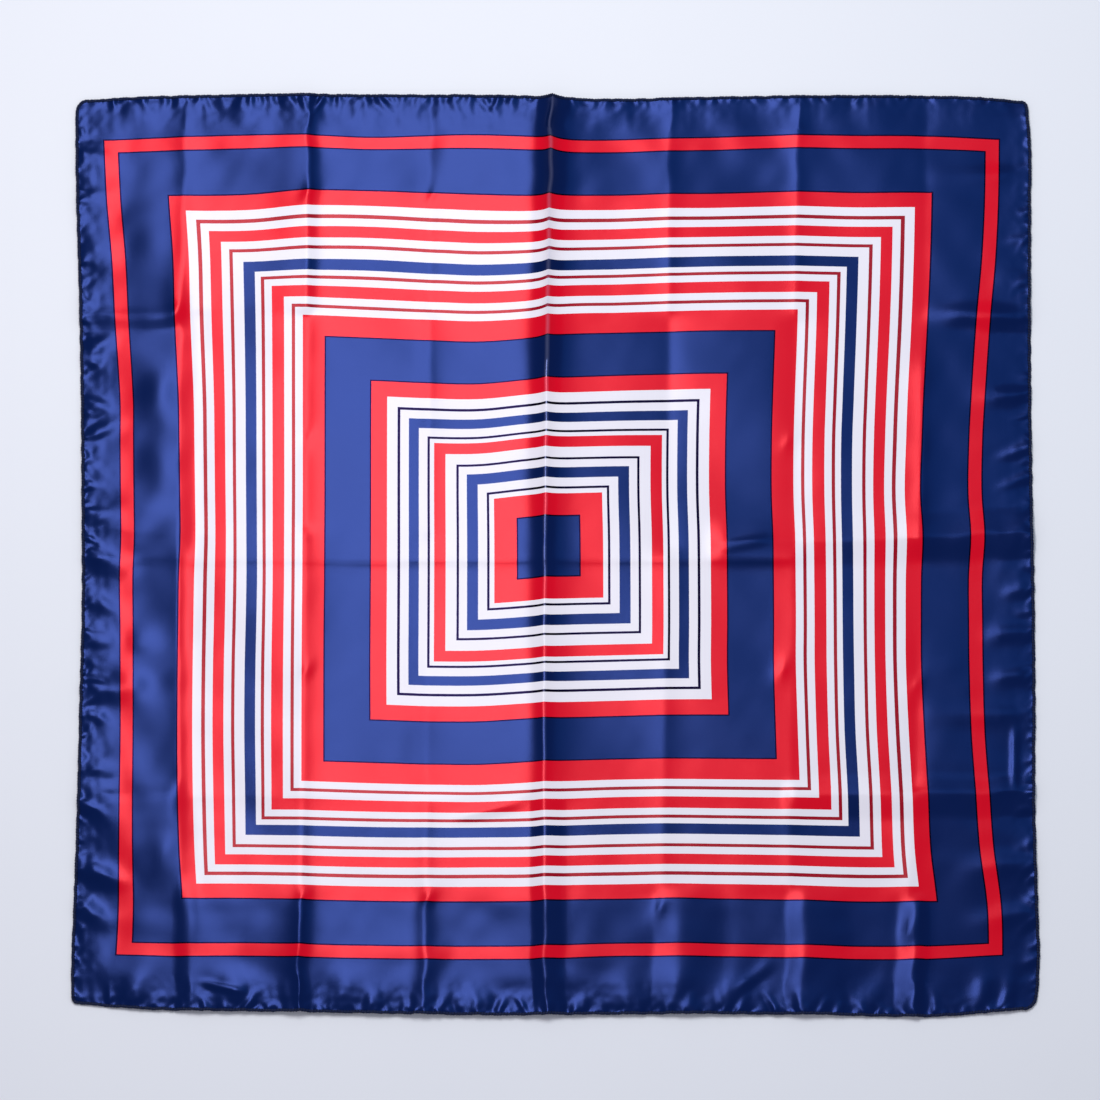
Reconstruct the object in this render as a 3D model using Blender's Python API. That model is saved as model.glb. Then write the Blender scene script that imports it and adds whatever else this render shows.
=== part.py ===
"""Square satin bandana, opened out from its packing folds and lying face up on a flat surface.

The cloth panel is one wall that follows the creases left by folding it into eighths both ways,
with the hems gathered into small puckers. A narrow rolled hem runs round it in four lengths.
Lengths below are in millimetres; the meshes are built in metres. The origin is under the middle
of the bandana, on the surface that it lies on; +X is its right, +Y its top edge, +Z up.
"""

import math
from typing import NamedTuple

import bmesh
import bpy
from mathutils import Vector
from mathutils.geometry import delaunay_2d_cdt

MM = 0.001

# Driving sizes
SIDE = 900.0  # nominal side of the finished square
WALL = 1.5  # cloth wall
HEM_WIDTH = 4.0  # rolled hem, across
HEM_HEIGHT = 2.4
SEAM_GAP = 0.3  # clear space between neighbouring pieces
HALF = SIDE / 2
PANEL_INSET = HEM_WIDTH + SEAM_GAP

# Underside: flat on the surface until the cloth has lifted by FLAT_LIFT, free of it from FREE_LIFT
FLAT_LIFT = 1.2
FREE_LIFT = 4.0
REST_SOFTNESS = 0.5  # how softly the cloth leaves the surface
SLOPE_STEP = 0.5  # run over which a slope is taken

# Mesh spacing
RIM_ROWS = ((PANEL_INSET, 1), (11.0, 1), (20.0, 2), (32.0, 2))  # inset from the edge, stride
RIM_PITCH = 8.0
CORNER_STEPS = 4
GRID_MARGIN = 41.0  # the grid of fold rows and columns stays this far inside the edge
COLUMN_OFFSETS = (-42.0, -24.0, -10.0, 0.0, 10.0, 24.0, 42.0)
CENTRE_COLUMN_OFFSETS = (-58.0, -34.0, -18.0, -9.0, -3.5, 0.0, 3.5, 9.0, 18.0, 34.0, 58.0)
ROW_OFFSETS = (-36.0, -13.0, 0.0, 13.0, 36.0)
HEM_CREST_OFFSETS = (-18.0, -9.0, -3.5, 0.0, 3.5, 9.0, 18.0)
MERGE = 1e-5


class EdgeStation(NamedTuple):
    """How far each edge lies outside the nominal square, at one place along it."""

    along: float
    left: float
    right: float
    top: float
    bottom: float


EDGE_STATIONS = (
    #           along  left right  top bottom
    EdgeStation(-450, 1.0, 1.0, -1.5, -9.0),
    EdgeStation(-400, 1.5, 4.5, 2.0, -4.0),
    EdgeStation(-350, 0.0, 3.5, 3.5, -1.5),
    EdgeStation(-250, -2.5, 1.5, 4.5, 0.0),
    EdgeStation(-150, -4.0, 2.5, 4.0, 2.0),
    EdgeStation(-50, -5.5, 2.5, 3.0, 3.5),
    EdgeStation(50, -4.5, 1.5, -0.5, 2.5),
    EdgeStation(150, -3.0, 1.0, 2.0, 2.0),
    EdgeStation(250, -0.5, 1.5, 3.5, 3.0),
    EdgeStation(350, 3.0, 2.5, 3.5, 4.5),
    EdgeStation(400, 4.0, 3.0, 2.0, 1.0),
    EdgeStation(450, 4.5, -0.5, -2.0, -3.5),
)


class Corner(NamedTuple):
    """One rounded corner: the signs of x and y there, and its radius."""

    name: str
    x_sign: int
    y_sign: int
    radius: float


CORNERS = (
    Corner("top_left", -1, 1, 12.0),
    Corner("top_right", 1, 1, 6.0),
    Corner("bottom_right", 1, -1, 14.0),
    Corner("bottom_left", -1, -1, 7.0),
)


class FoldLine(NamedTuple):
    """A packing fold across the whole cloth: its place at the start, middle and end.

    An upright fold gives x at the top, middle and bottom; a level one gives y at the left,
    middle and right.
    """

    name: str
    upright: bool
    start: float
    middle: float
    end: float


FOLD_LINES = (
    #         name      upright  start   middle   end
    FoldLine("column_1", True, -348.5, -354.0, -346.0),
    FoldLine("column_2", True, -232.5, -234.5, -239.0),
    FoldLine("column_3", True, -117.0, -118.5, -121.5),
    FoldLine("column_4", True, -2.0, -8.5, -8.0),
    FoldLine("column_5", True, 111.0, 106.5, 100.0),
    FoldLine("column_6", True, 233.0, 226.0, 219.0),
    FoldLine("column_7", True, 352.5, 345.0, 329.0),
    FoldLine("row_1", False, 354.0, 352.0, 350.0),
    FoldLine("row_2", False, 233.0, 236.0, 231.0),
    FoldLine("row_3", False, 112.0, 112.0, 109.0),
    FoldLine("row_4", False, 23.0, 8.0, 19.0),
    FoldLine("row_5", False, -117.0, -117.0, -122.0),
    FoldLine("row_6", False, -238.0, -239.5, -236.0),
    FoldLine("row_7", False, -340.0, -341.0, -338.0),
)


class Crease(NamedTuple):
    """One stretch of a fold line, from and to a place along it.

    A positive lift is a crest and a negative one a groove. The reaches are how far the crease
    carries to the lower side (left of an upright fold, below a level one) and to the upper side.
    """

    line: str
    begin: float
    end: float
    lift_begin: float
    lift_end: float
    reach_low: float
    reach_high: float


CREASES = (
    #       line      begin   end  lift_begin lift_end reach_low reach_high
    Crease("column_1", -450, -240, 3.0, 2.6, 16, 12),
    Crease("column_1", -240, 24, -1.8, -1.8, 14, 16),
    Crease("column_1", 24, 236, 3.4, 2.6, 18, 9),
    Crease("column_1", 236, 450, -1.6, -2.0, 14, 18),
    Crease("column_2", -450, -238, 3.8, 2.4, 10, 12),
    Crease("column_2", -238, 22, 1.4, 1.2, 22, 16),
    Crease("column_2", 22, 236, -0.8, -1.0, 20, 20),
    Crease("column_2", 236, 450, 2.8, 4.0, 20, 8),
    Crease("column_3", -450, -239, 3.4, 1.6, 9, 12),
    Crease("column_3", -239, 15, -0.8, -0.8, 18, 18),
    Crease("column_3", 15, 236, 1.0, 1.2, 20, 20),
    Crease("column_3", 236, 450, -1.6, -2.2, 14, 14),
    Crease("column_4", -450, -240, 3.6, 3.6, 13, 15),
    Crease("column_4", -240, 10, 3.6, 7.0, 12, 13),
    Crease("column_4", 10, 236, 7.0, 12.0, 11, 11),
    Crease("column_4", 236, 450, 12.0, 14.0, 10, 10),
    Crease("column_5", -450, -238, -1.8, -1.2, 16, 18),
    Crease("column_5", -238, 0, 1.8, 2.6, 16, 10),
    Crease("column_5", 0, 234, -1.2, -1.4, 20, 16),
    Crease("column_5", 234, 450, 2.8, 3.2, 26, 10),
    Crease("column_6", -450, -238, -2.2, -1.8, 12, 18),
    Crease("column_6", -238, 0, 3.2, 2.4, 20, 9),
    Crease("column_6", 0, 232, -0.8, -1.0, 18, 18),
    Crease("column_6", 232, 450, 3.2, 3.8, 20, 9),
    Crease("column_7", -450, -238, 2.8, 2.2, 14, 10),
    Crease("column_7", -238, 0, -1.4, -1.4, 16, 14),
    Crease("column_7", 0, 230, 2.2, 1.8, 16, 9),
    Crease("column_7", 230, 450, -1.6, -2.0, 14, 18),
    Crease("row_2", -450, -350, 3.2, 2.6, 14, 18),
    Crease("row_2", -350, 345, -0.6, -0.6, 16, 16),
    Crease("row_2", 345, 450, -2.0, -2.2, 12, 12),
    Crease("row_4", -450, -235, -2.0, -1.4, 16, 14),
    Crease("row_4", -235, 110, 0.8, 0.8, 18, 14),
    Crease("row_4", 110, 450, 1.6, 4.2, 16, 26),
    Crease("row_6", -450, -350, -2.2, -1.8, 14, 14),
    Crease("row_6", -350, 220, 0.8, 0.8, 16, 16),
    Crease("row_6", 220, 450, 2.2, 3.2, 12, 22),
)
CREST_SOFTNESS = 1.2  # rounding of a crease at its line
CREASE_END_FADE = 18.0


class PuckerRun(NamedTuple):
    """Puckers or soft waves along part of one edge, counted and shaped, before unevenness.

    Depth is how far in from the edge they reach, and lean how far they shift along the edge on
    the way in, as a share of that depth.
    """

    side: str
    begin: float
    end: float
    count: int
    depth: float
    lift: float
    lean: float


PUCKER_RUNS = (
    #          side    begin  end  count depth lift lean
    PuckerRun("left", -425, 425, 31, 30.0, 2.0, 0.25),
    PuckerRun("left", -400, 390, 9, 105.0, 1.5, 0.15),
    PuckerRun("bottom", -425, 425, 35, 20.0, 1.6, 0.10),
    PuckerRun("bottom", -330, 300, 7, 70.0, 1.2, -0.20),
    PuckerRun("right", -425, 425, 32, 22.0, 1.2, -0.45),
    PuckerRun("right", -410, 300, 8, 85.0, 1.3, -0.20),
    PuckerRun("top", -400, -60, 15, 20.0, 1.5, 0.30),
    PuckerRun("top", 30, 400, 15, 16.0, 1.0, 0.20),
)
SHIFTS = (0.0, 0.22, -0.16, 0.10, -0.24, 0.17, -0.06)  # places along the edge, in shares of a pitch
STRENGTHS = (1.0, 0.6, 1.25, 0.8, 0.45, 1.1, 0.7, 0.9)  # shares of the lift
DEPTHS = (1.0, 0.7, 1.2, 0.85, 0.6, 1.1)  # shares of the depth
HEM_SHARE = 0.55  # share of a pucker's lift that the hem itself takes
HEM_RISE = 0.2  # share of its depth over which a pucker gains its full lift


class Dimple(NamedTuple):
    """A small pinch where two folds crossed in the packed cloth."""

    x: float
    y: float
    lift: float
    reach: float


DIMPLES = (
    #       x       y    lift  reach
    Dimple(-233, 355, 2.2, 9),
    Dimple(-116, 352, 1.8, 9),
    Dimple(-355, 240, 2.2, 10),
    Dimple(-235, -338, 2.2, 9),
    Dimple(-118, -340, 1.8, 9),
    Dimple(221, 109, 1.4, 9),
    Dimple(216, -115, 2.0, 10),
    Dimple(341, -130, 1.8, 11),
    Dimple(-232, 112, 1.2, 8),
    Dimple(-232, -117, 1.2, 8),
)


class Swell(NamedTuple):
    """A long soft undulation of the loose cloth."""

    x_length: float
    y_length: float
    phase: float
    lift: float


SWELLS = (
    #    x_length y_length phase lift
    Swell(420.0, 310.0, 0.6, 0.45),
    Swell(190.0, 520.0, 2.1, 0.35),
    Swell(260.0, 150.0, 4.0, 0.30),
)
BASE_LIFT = 0.6


class SectionPoint(NamedTuple):
    """A corner of the rolled hem's section, as shares of its width from outside and its height."""

    across: float
    up: float


HEM_SECTION = (
    #            across up
    SectionPoint(0.18, 0.0),
    SectionPoint(0.0, 0.5),
    SectionPoint(0.32, 1.0),
    SectionPoint(0.82, 0.86),
    SectionPoint(1.0, 0.35),
    SectionPoint(0.86, 0.0),
)


class Finish(NamedTuple):
    """Colour, roughness and metallic value of one piece."""

    colour: tuple
    roughness: float
    metallic: float


SATIN = Finish((0.035, 0.055, 0.30, 1.0), 0.34, 0.0)
HEM_SATIN = Finish((0.012, 0.025, 0.11, 1.0), 0.45, 0.0)


def smooth(value, low, high):
    """0 below low, 1 above high, and an even S between."""
    share = min(max((value - low) / (high - low), 0.0), 1.0)
    return share * share * (3.0 - 2.0 * share)


def edge_offset(side, along):
    """How far the named edge lies outside the nominal square, on a smooth curve."""
    rows = EDGE_STATIONS
    along = min(max(along, rows[0].along), rows[-1].along)
    last = len(rows) - 2
    index = max(i for i in range(last + 1) if rows[i].along <= along)
    low, high = rows[index], rows[index + 1]
    before, after = rows[max(index - 1, 0)], rows[min(index + 2, last + 1)]
    span = high.along - low.along
    share = (along - low.along) / span
    value_low, value_high = getattr(low, side), getattr(high, side)
    slope_low = (value_high - getattr(before, side)) / (high.along - before.along) * span
    slope_high = (getattr(after, side) - value_low) / (after.along - low.along) * span
    square, cube = share**2, share**3
    return (
        (2 * cube - 3 * square + 1) * value_low
        + (cube - 2 * square + share) * slope_low
        + (3 * square - 2 * cube) * value_high
        + (cube - square) * slope_high
    )


def side_and_inset(x, y):
    """Distance in from each edge, and the place along it, by side."""
    return {
        "left": (x + HALF + edge_offset("left", y), y),
        "right": (HALF + edge_offset("right", y) - x, y),
        "top": (HALF + edge_offset("top", x) - y, x),
        "bottom": (y + HALF + edge_offset("bottom", x), x),
    }


def line_place(line, along):
    """Where a fold line lies, at a place along it: a parabola through its three values."""
    share = (HALF - along) / SIDE if line.upright else (along + HALF) / SIDE
    return (
        line.start * (1 - share) * (1 - 2 * share)
        + line.middle * 4 * share * (1 - share)
        + line.end * share * (2 * share - 1)
    )


LINES_BY_NAME = {line.name: line for line in FOLD_LINES}


def crease_lift(crease, x, y):
    """What one crease adds to the height of the cloth at a point."""
    line = LINES_BY_NAME[crease.line]
    along, across = (y, x) if line.upright else (x, y)
    distance = across - line_place(line, along)
    reach = crease.reach_high if distance > 0 else crease.reach_low
    near = math.sqrt(distance**2 + CREST_SOFTNESS**2) - CREST_SOFTNESS
    share = min(max((along - crease.begin) / (crease.end - crease.begin), 0.0), 1.0)
    lift = crease.lift_begin + (crease.lift_end - crease.lift_begin) * share
    half_fade = CREASE_END_FADE / 2
    ends = smooth(along, crease.begin - half_fade, crease.begin + half_fade)
    ends *= 1.0 - smooth(along, crease.end - half_fade, crease.end + half_fade)
    if crease.begin <= -HALF:
        ends = 1.0 - smooth(along, crease.end - half_fade, crease.end + half_fade)
    elif crease.end >= HALF:
        ends = smooth(along, crease.begin - half_fade, crease.begin + half_fade)
    return lift * ends * math.exp(-near / reach)


def pucker_lift(run, inset, along):
    """What one run of puckers adds at a distance in from its edge and a place along it."""
    pitch = (run.end - run.begin) / run.count
    total = 0.0
    for index in range(run.count):
        depth = run.depth * DEPTHS[index % len(DEPTHS)]
        if inset >= depth:
            continue
        centre = run.begin + pitch * (index + 0.5 + SHIFTS[index % len(SHIFTS)])
        across = (along - centre - run.lean * inset) / (0.5 * pitch)
        if abs(across) >= 1.0:
            continue
        inwards = max(inset, 0.0) / depth
        rise = HEM_SHARE + (1.0 - HEM_SHARE) * smooth(inwards, 0.0, HEM_RISE)
        fade = (1.0 - inwards) ** 1.3
        crest = 0.5 + 0.5 * math.cos(math.pi * across)
        total += run.lift * STRENGTHS[index % len(STRENGTHS)] * crest * rise * fade
    return total


def dimple_lift(dimple, x, y):
    """A pinch with four short arms along the two folds that cross there."""
    across, up = (x - dimple.x) / dimple.reach, (y - dimple.y) / dimple.reach
    radius = math.hypot(across, up)
    if radius > 3.0:
        return 0.0
    arms = math.cos(4.0 * math.atan2(up, across))
    return dimple.lift * math.exp(-radius) * (0.5 + 0.5 * arms)


def relief(x, y):
    """Height of the cloth's lower face over the surface that it lies on, before it is flattened."""
    height = BASE_LIFT
    for swell in SWELLS:
        turn = math.tau * (x / swell.x_length + y / swell.y_length) + swell.phase
        height += swell.lift * math.sin(turn)
    height += sum(crease_lift(crease, x, y) for crease in CREASES)
    height += sum(dimple_lift(dimple, x, y) for dimple in DIMPLES)
    insets = side_and_inset(x, y)
    height += sum(pucker_lift(run, *insets[run.side]) for run in PUCKER_RUNS)
    return 0.5 * (height + math.sqrt(height**2 + REST_SOFTNESS**2))


def wall_above(x, y, lift):
    """Height of the upper face over the relief that keeps the wall WALL thick on a slope."""
    slope_x = (relief(x + SLOPE_STEP, y) - lift) / SLOPE_STEP
    slope_y = (relief(x, y + SLOPE_STEP) - lift) / SLOPE_STEP
    return WALL * math.sqrt(1.0 + slope_x**2 + slope_y**2)


def underside(lift):
    """Flat on the surface where the cloth barely lifts, and under the wall where it stands clear."""
    return lift * smooth(lift, FLAT_LIFT, FREE_LIFT)


def side_places(low, high, crests):
    """Places along one edge: even steps, with closer ones where a sharp fold crosses it."""
    steps = round((high - low) / RIM_PITCH)
    places = [low + (high - low) * i / steps for i in range(steps + 1)]
    for crest in crests:
        clear = HEM_CREST_OFFSETS[-1] + 0.4 * RIM_PITCH
        places = [place for place in places if abs(place - crest) > clear]
        places += [crest + offset for offset in HEM_CREST_OFFSETS]
    return sorted(places)


def corner_centre(corner):
    """Centre of a corner's arc."""
    x_side = "right" if corner.x_sign > 0 else "left"
    y_side = "top" if corner.y_sign > 0 else "bottom"
    x_along = corner.x_sign * (HALF - corner.radius)
    y_along = corner.y_sign * (HALF - corner.radius)
    x = corner.x_sign * (HALF + edge_offset(x_side, y_along) - corner.radius)
    y = corner.y_sign * (HALF + edge_offset(y_side, x_along) - corner.radius)
    return x, y


CENTRES = {corner.name: corner_centre(corner) for corner in CORNERS}
CENTRE_FOLD = LINES_BY_NAME["column_4"]


def edge_run(side, inset, places=None):
    """Points of one straight edge, clockwise as seen from above, at an inset from the edge."""
    if side == "top":
        ends = CENTRES["top_left"][0], CENTRES["top_right"][0]
        places = places or side_places(*ends, [line_place(CENTRE_FOLD, HALF)])
        return [(x, HALF + edge_offset("top", x) - inset) for x in places]
    if side == "right":
        places = places or side_places(CENTRES["bottom_right"][1], CENTRES["top_right"][1], [])
        return [(HALF + edge_offset("right", y) - inset, y) for y in reversed(places)]
    if side == "bottom":
        ends = CENTRES["bottom_left"][0], CENTRES["bottom_right"][0]
        places = places or side_places(*ends, [line_place(CENTRE_FOLD, -HALF)])
        return [(x, inset - HALF - edge_offset("bottom", x)) for x in reversed(places)]
    places = places or side_places(CENTRES["bottom_left"][1], CENTRES["top_left"][1], [])
    return [(inset - HALF - edge_offset("left", y), y) for y in places]


def corner_run(corner, inset):
    """Points of one corner's arc, clockwise, at an inset, without the ends that the edges give."""
    x, y = CENTRES[corner.name]
    radius = corner.radius - inset
    if radius <= 0.0:
        return [(x + corner.x_sign * radius, y + corner.y_sign * radius)]
    middle = math.atan2(corner.y_sign, corner.x_sign)
    turns = [i / CORNER_STEPS - 0.5 for i in range(1, CORNER_STEPS)]
    angles = [middle - turn * math.pi / 2 for turn in turns]
    return [(x + radius * math.cos(angle), y + radius * math.sin(angle)) for angle in angles]


def rim_loop(inset):
    """Closed loop of points round the cloth at an inset from its edge, clockwise from the top left."""
    corners = {corner.name: corner for corner in CORNERS}
    loop = edge_run("top", inset) + corner_run(corners["top_right"], inset)
    loop += edge_run("right", inset) + corner_run(corners["bottom_right"], inset)
    loop += edge_run("bottom", inset) + corner_run(corners["bottom_left"], inset)
    loop += edge_run("left", inset) + corner_run(corners["top_left"], inset)
    return loop


def grid_points():
    """Points on and beside the packing folds, where rows and columns of the grid cross."""
    columns = [line for line in FOLD_LINES if line.upright]
    rows = [line for line in FOLD_LINES if not line.upright]
    points = []
    for column in columns:
        offsets = CENTRE_COLUMN_OFFSETS if column is CENTRE_FOLD else COLUMN_OFFSETS
        for row in rows:
            for side_step in offsets:
                for up_step in ROW_OFFSETS:
                    y = line_place(row, line_place(column, row.middle)) + up_step
                    x = line_place(column, y) + side_step
                    if min(inset for inset, _ in side_and_inset(x, y).values()) > GRID_MARGIN:
                        points.append((x, y))
    return points


def panel_plan():
    """The panel's points in plan, its outline among them, and the triangles between them."""
    points, outline = [], []
    for inset, stride in RIM_ROWS:
        loop = rim_loop(inset)
        if not points:
            outline = [(i, (i + 1) % len(loop)) for i in range(len(loop))]
        inside = [p for p in loop if min(d for d, _ in side_and_inset(*p).values()) > inset - MM]
        points += loop if not points else inside[::stride]
    points += grid_points()
    plan, _, triangles, *_ = delaunay_2d_cdt(
        [Vector(point) for point in points], outline, [], 1, MERGE
    )
    return [tuple(point) for point in plan], [tuple(triangle) for triangle in triangles]


def border_edges(triangles):
    """The directed edges that only one triangle uses."""
    used = {(t[i], t[(i + 1) % 3]) for t in triangles for i in range(3)}
    return [(a, b) for a, b in used if (b, a) not in used]


def closed_object(name, points, faces, finish):
    """A named object with its own material, from points in millimetres."""
    mesh = bpy.data.meshes.new(name)
    mesh.from_pydata([Vector(point) * MM for point in points], [], faces)
    model = bmesh.new()
    model.from_mesh(mesh)
    bmesh.ops.triangulate(model, faces=model.faces[:])
    bmesh.ops.recalc_face_normals(model, faces=model.faces[:])
    model.to_mesh(mesh)
    model.free()
    mesh.shade_smooth()
    mesh.set_sharp_from_angle(angle=math.radians(60.0))
    part = bpy.data.objects.new(name, mesh)
    bpy.context.scene.collection.objects.link(part)
    material = bpy.data.materials.new(name)
    material.use_nodes = True
    shader = material.node_tree.nodes["Principled BSDF"]
    shader.inputs["Base Color"].default_value = finish.colour
    shader.inputs["Roughness"].default_value = finish.roughness
    shader.inputs["Metallic"].default_value = finish.metallic
    mesh.materials.append(material)
    return part


def build_panel():
    """The cloth itself: one wall over the plan, its upper face WALL above the relief."""
    plan, triangles = panel_plan()
    lifts = [relief(x, y) for x, y in plan]
    upper = [(x, y, lift + wall_above(x, y, lift)) for (x, y), lift in zip(plan, lifts)]
    lower = [(x, y, underside(lift)) for (x, y), lift in zip(plan, lifts)]
    count = len(plan)
    faces = list(triangles)
    faces += [tuple(count + corner for corner in reversed(triangle)) for triangle in triangles]
    faces += [(b, a, count + a, count + b) for a, b in border_edges(triangles)]
    return closed_object("cloth_panel", upper + lower, faces, SATIN)


def drawn_in(run):
    """A run across the cloth with the seam's gap taken off both its ends."""
    (first_x, first_y), (last_x, last_y) = run[0], run[-1]
    step = math.copysign(SEAM_GAP, last_x - first_x)
    return [(first_x + step, first_y)] + run[1:-1] + [(last_x - step, last_y)]


def hem_path(side, inset):
    """One hem's run at an inset. The left and right hems take the corners, the others fit between."""
    corners = {corner.name: corner for corner in CORNERS}
    if side in ("top", "bottom"):
        return drawn_in(edge_run(side, inset))
    if side == "right":
        run = corner_run(corners["top_right"], inset) + edge_run("right", inset)
        run = edge_run("top", inset)[-1:] + run + corner_run(corners["bottom_right"], inset)
        return run + edge_run("bottom", inset)[:1]
    run = corner_run(corners["bottom_left"], inset) + edge_run("left", inset)
    run = edge_run("bottom", inset)[-1:] + run + corner_run(corners["top_left"], inset)
    return run + edge_run("top", inset)[:1]


def build_hem(side):
    """One length of rolled hem: its section swept along the edge, on the same relief as the panel."""
    rails = []
    for point in HEM_SECTION:
        path = hem_path(side, point.across * HEM_WIDTH)
        rail = []
        for x, y in path:
            lift = relief(x, y)
            low = underside(lift)
            high = lift + HEM_HEIGHT
            rail.append((x, y, low + (high - low) * point.up))
        rails.append(rail)
    sides, stations = len(rails), len(rails[0])
    points = [rail[i] for i in range(stations) for rail in rails]
    faces = []
    for station in range(stations - 1):
        here, there = station * sides, (station + 1) * sides
        for k in range(sides):
            after = (k + 1) % sides
            faces.append((here + k, here + after, there + after, there + k))
    faces.append(tuple(range(sides)))
    faces.append(tuple((stations - 1) * sides + k for k in reversed(range(sides))))
    return closed_object(f"hem_{side}", points, faces, HEM_SATIN)


def main():
    for old in list(bpy.data.objects):
        bpy.data.objects.remove(old, do_unlink=True)
    build_panel()
    for side in ("top", "right", "bottom", "left"):
        build_hem(side)


main()
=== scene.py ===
"""Looks of a square satin bandana that lies printed side up, opened out from its packing folds.

The cloth is one thin shell over the flat solid, with its creases, hem puckers and pinches listed
in tables. Its print is nested square stripes, drawn from a table in the cloth's own coordinates, so
it bends with the cloth. A rolled hem with overlock stitches runs round it. Lengths in the tables
are millimetres; meshes are metres.
"""

import logging
import math
from dataclasses import dataclass
from enum import Enum
from typing import Optional

import bpy
import numpy as np
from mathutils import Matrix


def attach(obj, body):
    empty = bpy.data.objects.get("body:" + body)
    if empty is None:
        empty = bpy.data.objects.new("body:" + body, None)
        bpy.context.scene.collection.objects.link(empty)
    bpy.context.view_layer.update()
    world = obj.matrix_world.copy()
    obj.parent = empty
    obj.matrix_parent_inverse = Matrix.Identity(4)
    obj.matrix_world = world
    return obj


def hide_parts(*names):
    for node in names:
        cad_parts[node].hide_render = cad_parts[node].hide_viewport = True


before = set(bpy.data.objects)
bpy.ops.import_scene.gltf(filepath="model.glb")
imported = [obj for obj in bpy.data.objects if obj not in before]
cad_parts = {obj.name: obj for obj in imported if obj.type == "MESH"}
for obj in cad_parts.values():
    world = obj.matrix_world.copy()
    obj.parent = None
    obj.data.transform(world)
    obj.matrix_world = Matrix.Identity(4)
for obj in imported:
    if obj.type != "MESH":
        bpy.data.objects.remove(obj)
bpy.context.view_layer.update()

Array = np.ndarray
Colour = tuple[float, float, float]
Socket = bpy.types.NodeSocket

MM = 0.001
SIDE = 900.0
HALF = SIDE / 2
LOG = logging.getLogger("bandana")


class Side(Enum):
    """One edge of the cloth, seen from above."""

    TOP = "top"
    RIGHT = "right"
    BOTTOM = "bottom"
    LEFT = "left"


class Profile(Enum):
    """How the cloth falls away from a crease."""

    CUSP = "cusp"
    TENT = "tent"


class Ink(Enum):
    """An ink of the print, as the channel of the stripe ramps that marks it."""

    NAVY = (0.0, 0.0, 0.0)
    RED = (1.0, 0.0, 0.0)
    WHITE = (0.0, 1.0, 0.0)
    OVERLAP = (0.0, 0.0, 1.0)
    DEEP_RED = (1.0, 0.0, 0.55)


# --- How the cloth lies -------------------------------------------------------------------------


@dataclass(frozen=True)
class EdgeStation:
    """How far each edge lies outside the nominal square, at one place along it."""

    along: float
    left: float
    right: float
    top: float
    bottom: float


@dataclass(frozen=True)
class Corner:
    """A rounded corner: the signs of x and y there, and its radius."""

    x_sign: int
    y_sign: int
    radius: float


@dataclass(frozen=True)
class FoldLine:
    """A packing fold: x at the top, middle and bottom, or y at the left, middle and right."""

    upright: bool
    start: float
    middle: float
    end: float


@dataclass(frozen=True)
class Crease:
    """One stretch of a fold line; a positive lift is a crest and a negative one a groove.

    The reaches are how far it carries left of an upright fold or below a level one, and beyond it.
    Softness is the rounding of the cloth over its line, aside is how far to the right of the fold,
    or above it, the crest stands, and fade is the length over which each end dies away.
    """

    line: str
    begin: float
    end: float
    lift_begin: float
    lift_end: float
    reach_low: float
    reach_high: float
    softness: float = 1.2
    profile: Profile = Profile.CUSP
    aside: float = 0.0
    fade: float = 18.0


@dataclass(frozen=True)
class EdgeWave:
    """A broad soft wave that runs in from one edge.

    Along is where its crest meets the edge, and lean is how far it shifts along the edge on the
    way in, as a share of its depth.
    """

    side: Side
    along: float
    depth: float
    half_width: float
    lift: float
    lean: float


@dataclass(frozen=True)
class Gather:
    """Small uneven puckers where the hem's thread has drawn the cloth in, along part of one edge.

    Each runs in from the hem by some depth from the shallowest to the deepest. Lean is how far it
    slants along the edge, as a share of its depth, and lean_spread is how much that varies.
    """

    side: Side
    begin: float
    end: float
    count: int
    shallowest: float
    deepest: float
    half_width: float
    lift: float
    lean: float
    lean_spread: float


@dataclass(frozen=True)
class Dimple:
    """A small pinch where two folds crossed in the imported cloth."""

    x: float
    y: float
    lift: float
    reach: float


@dataclass(frozen=True)
class Streak:
    """A single wrinkle from one point to another, with its half-width and lift."""

    x_from: float
    y_from: float
    x_to: float
    y_to: float
    width: float
    lift: float


@dataclass(frozen=True)
class Bulge:
    """A low soft mound: its middle, its reaches across and up, and its lift."""

    x: float
    y: float
    x_reach: float
    y_reach: float
    lift: float


@dataclass(frozen=True)
class Swell:
    """A long soft undulation of the loose cloth."""

    x_length: float
    y_length: float
    phase: float
    lift: float


EDGE_STATIONS = (
    #           along  left right  top bottom
    EdgeStation(-450, 1.0, 1.0, -1.5, -9.0),
    EdgeStation(-400, 1.5, 4.5, 2.0, -4.0),
    EdgeStation(-350, 0.0, 3.5, 3.5, -1.5),
    EdgeStation(-250, -2.5, 1.5, 4.5, 0.0),
    EdgeStation(-150, -4.0, 2.5, 4.0, 2.0),
    EdgeStation(-50, -5.5, 2.5, 3.0, 3.5),
    EdgeStation(50, -4.5, 1.5, -0.5, 2.5),
    EdgeStation(150, -3.0, 1.0, 2.0, 2.0),
    EdgeStation(250, -0.5, 1.5, 3.5, 3.0),
    EdgeStation(350, 3.0, 2.5, 3.5, 4.5),
    EdgeStation(400, 4.0, 3.0, 2.0, 1.0),
    EdgeStation(450, 4.5, -0.5, -2.0, -3.5),
)

CORNERS = {
    "top_left": Corner(-1, 1, 12.0),
    "top_right": Corner(1, 1, 6.0),
    "bottom_right": Corner(1, -1, 14.0),
    "bottom_left": Corner(-1, -1, 7.0),
}

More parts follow.
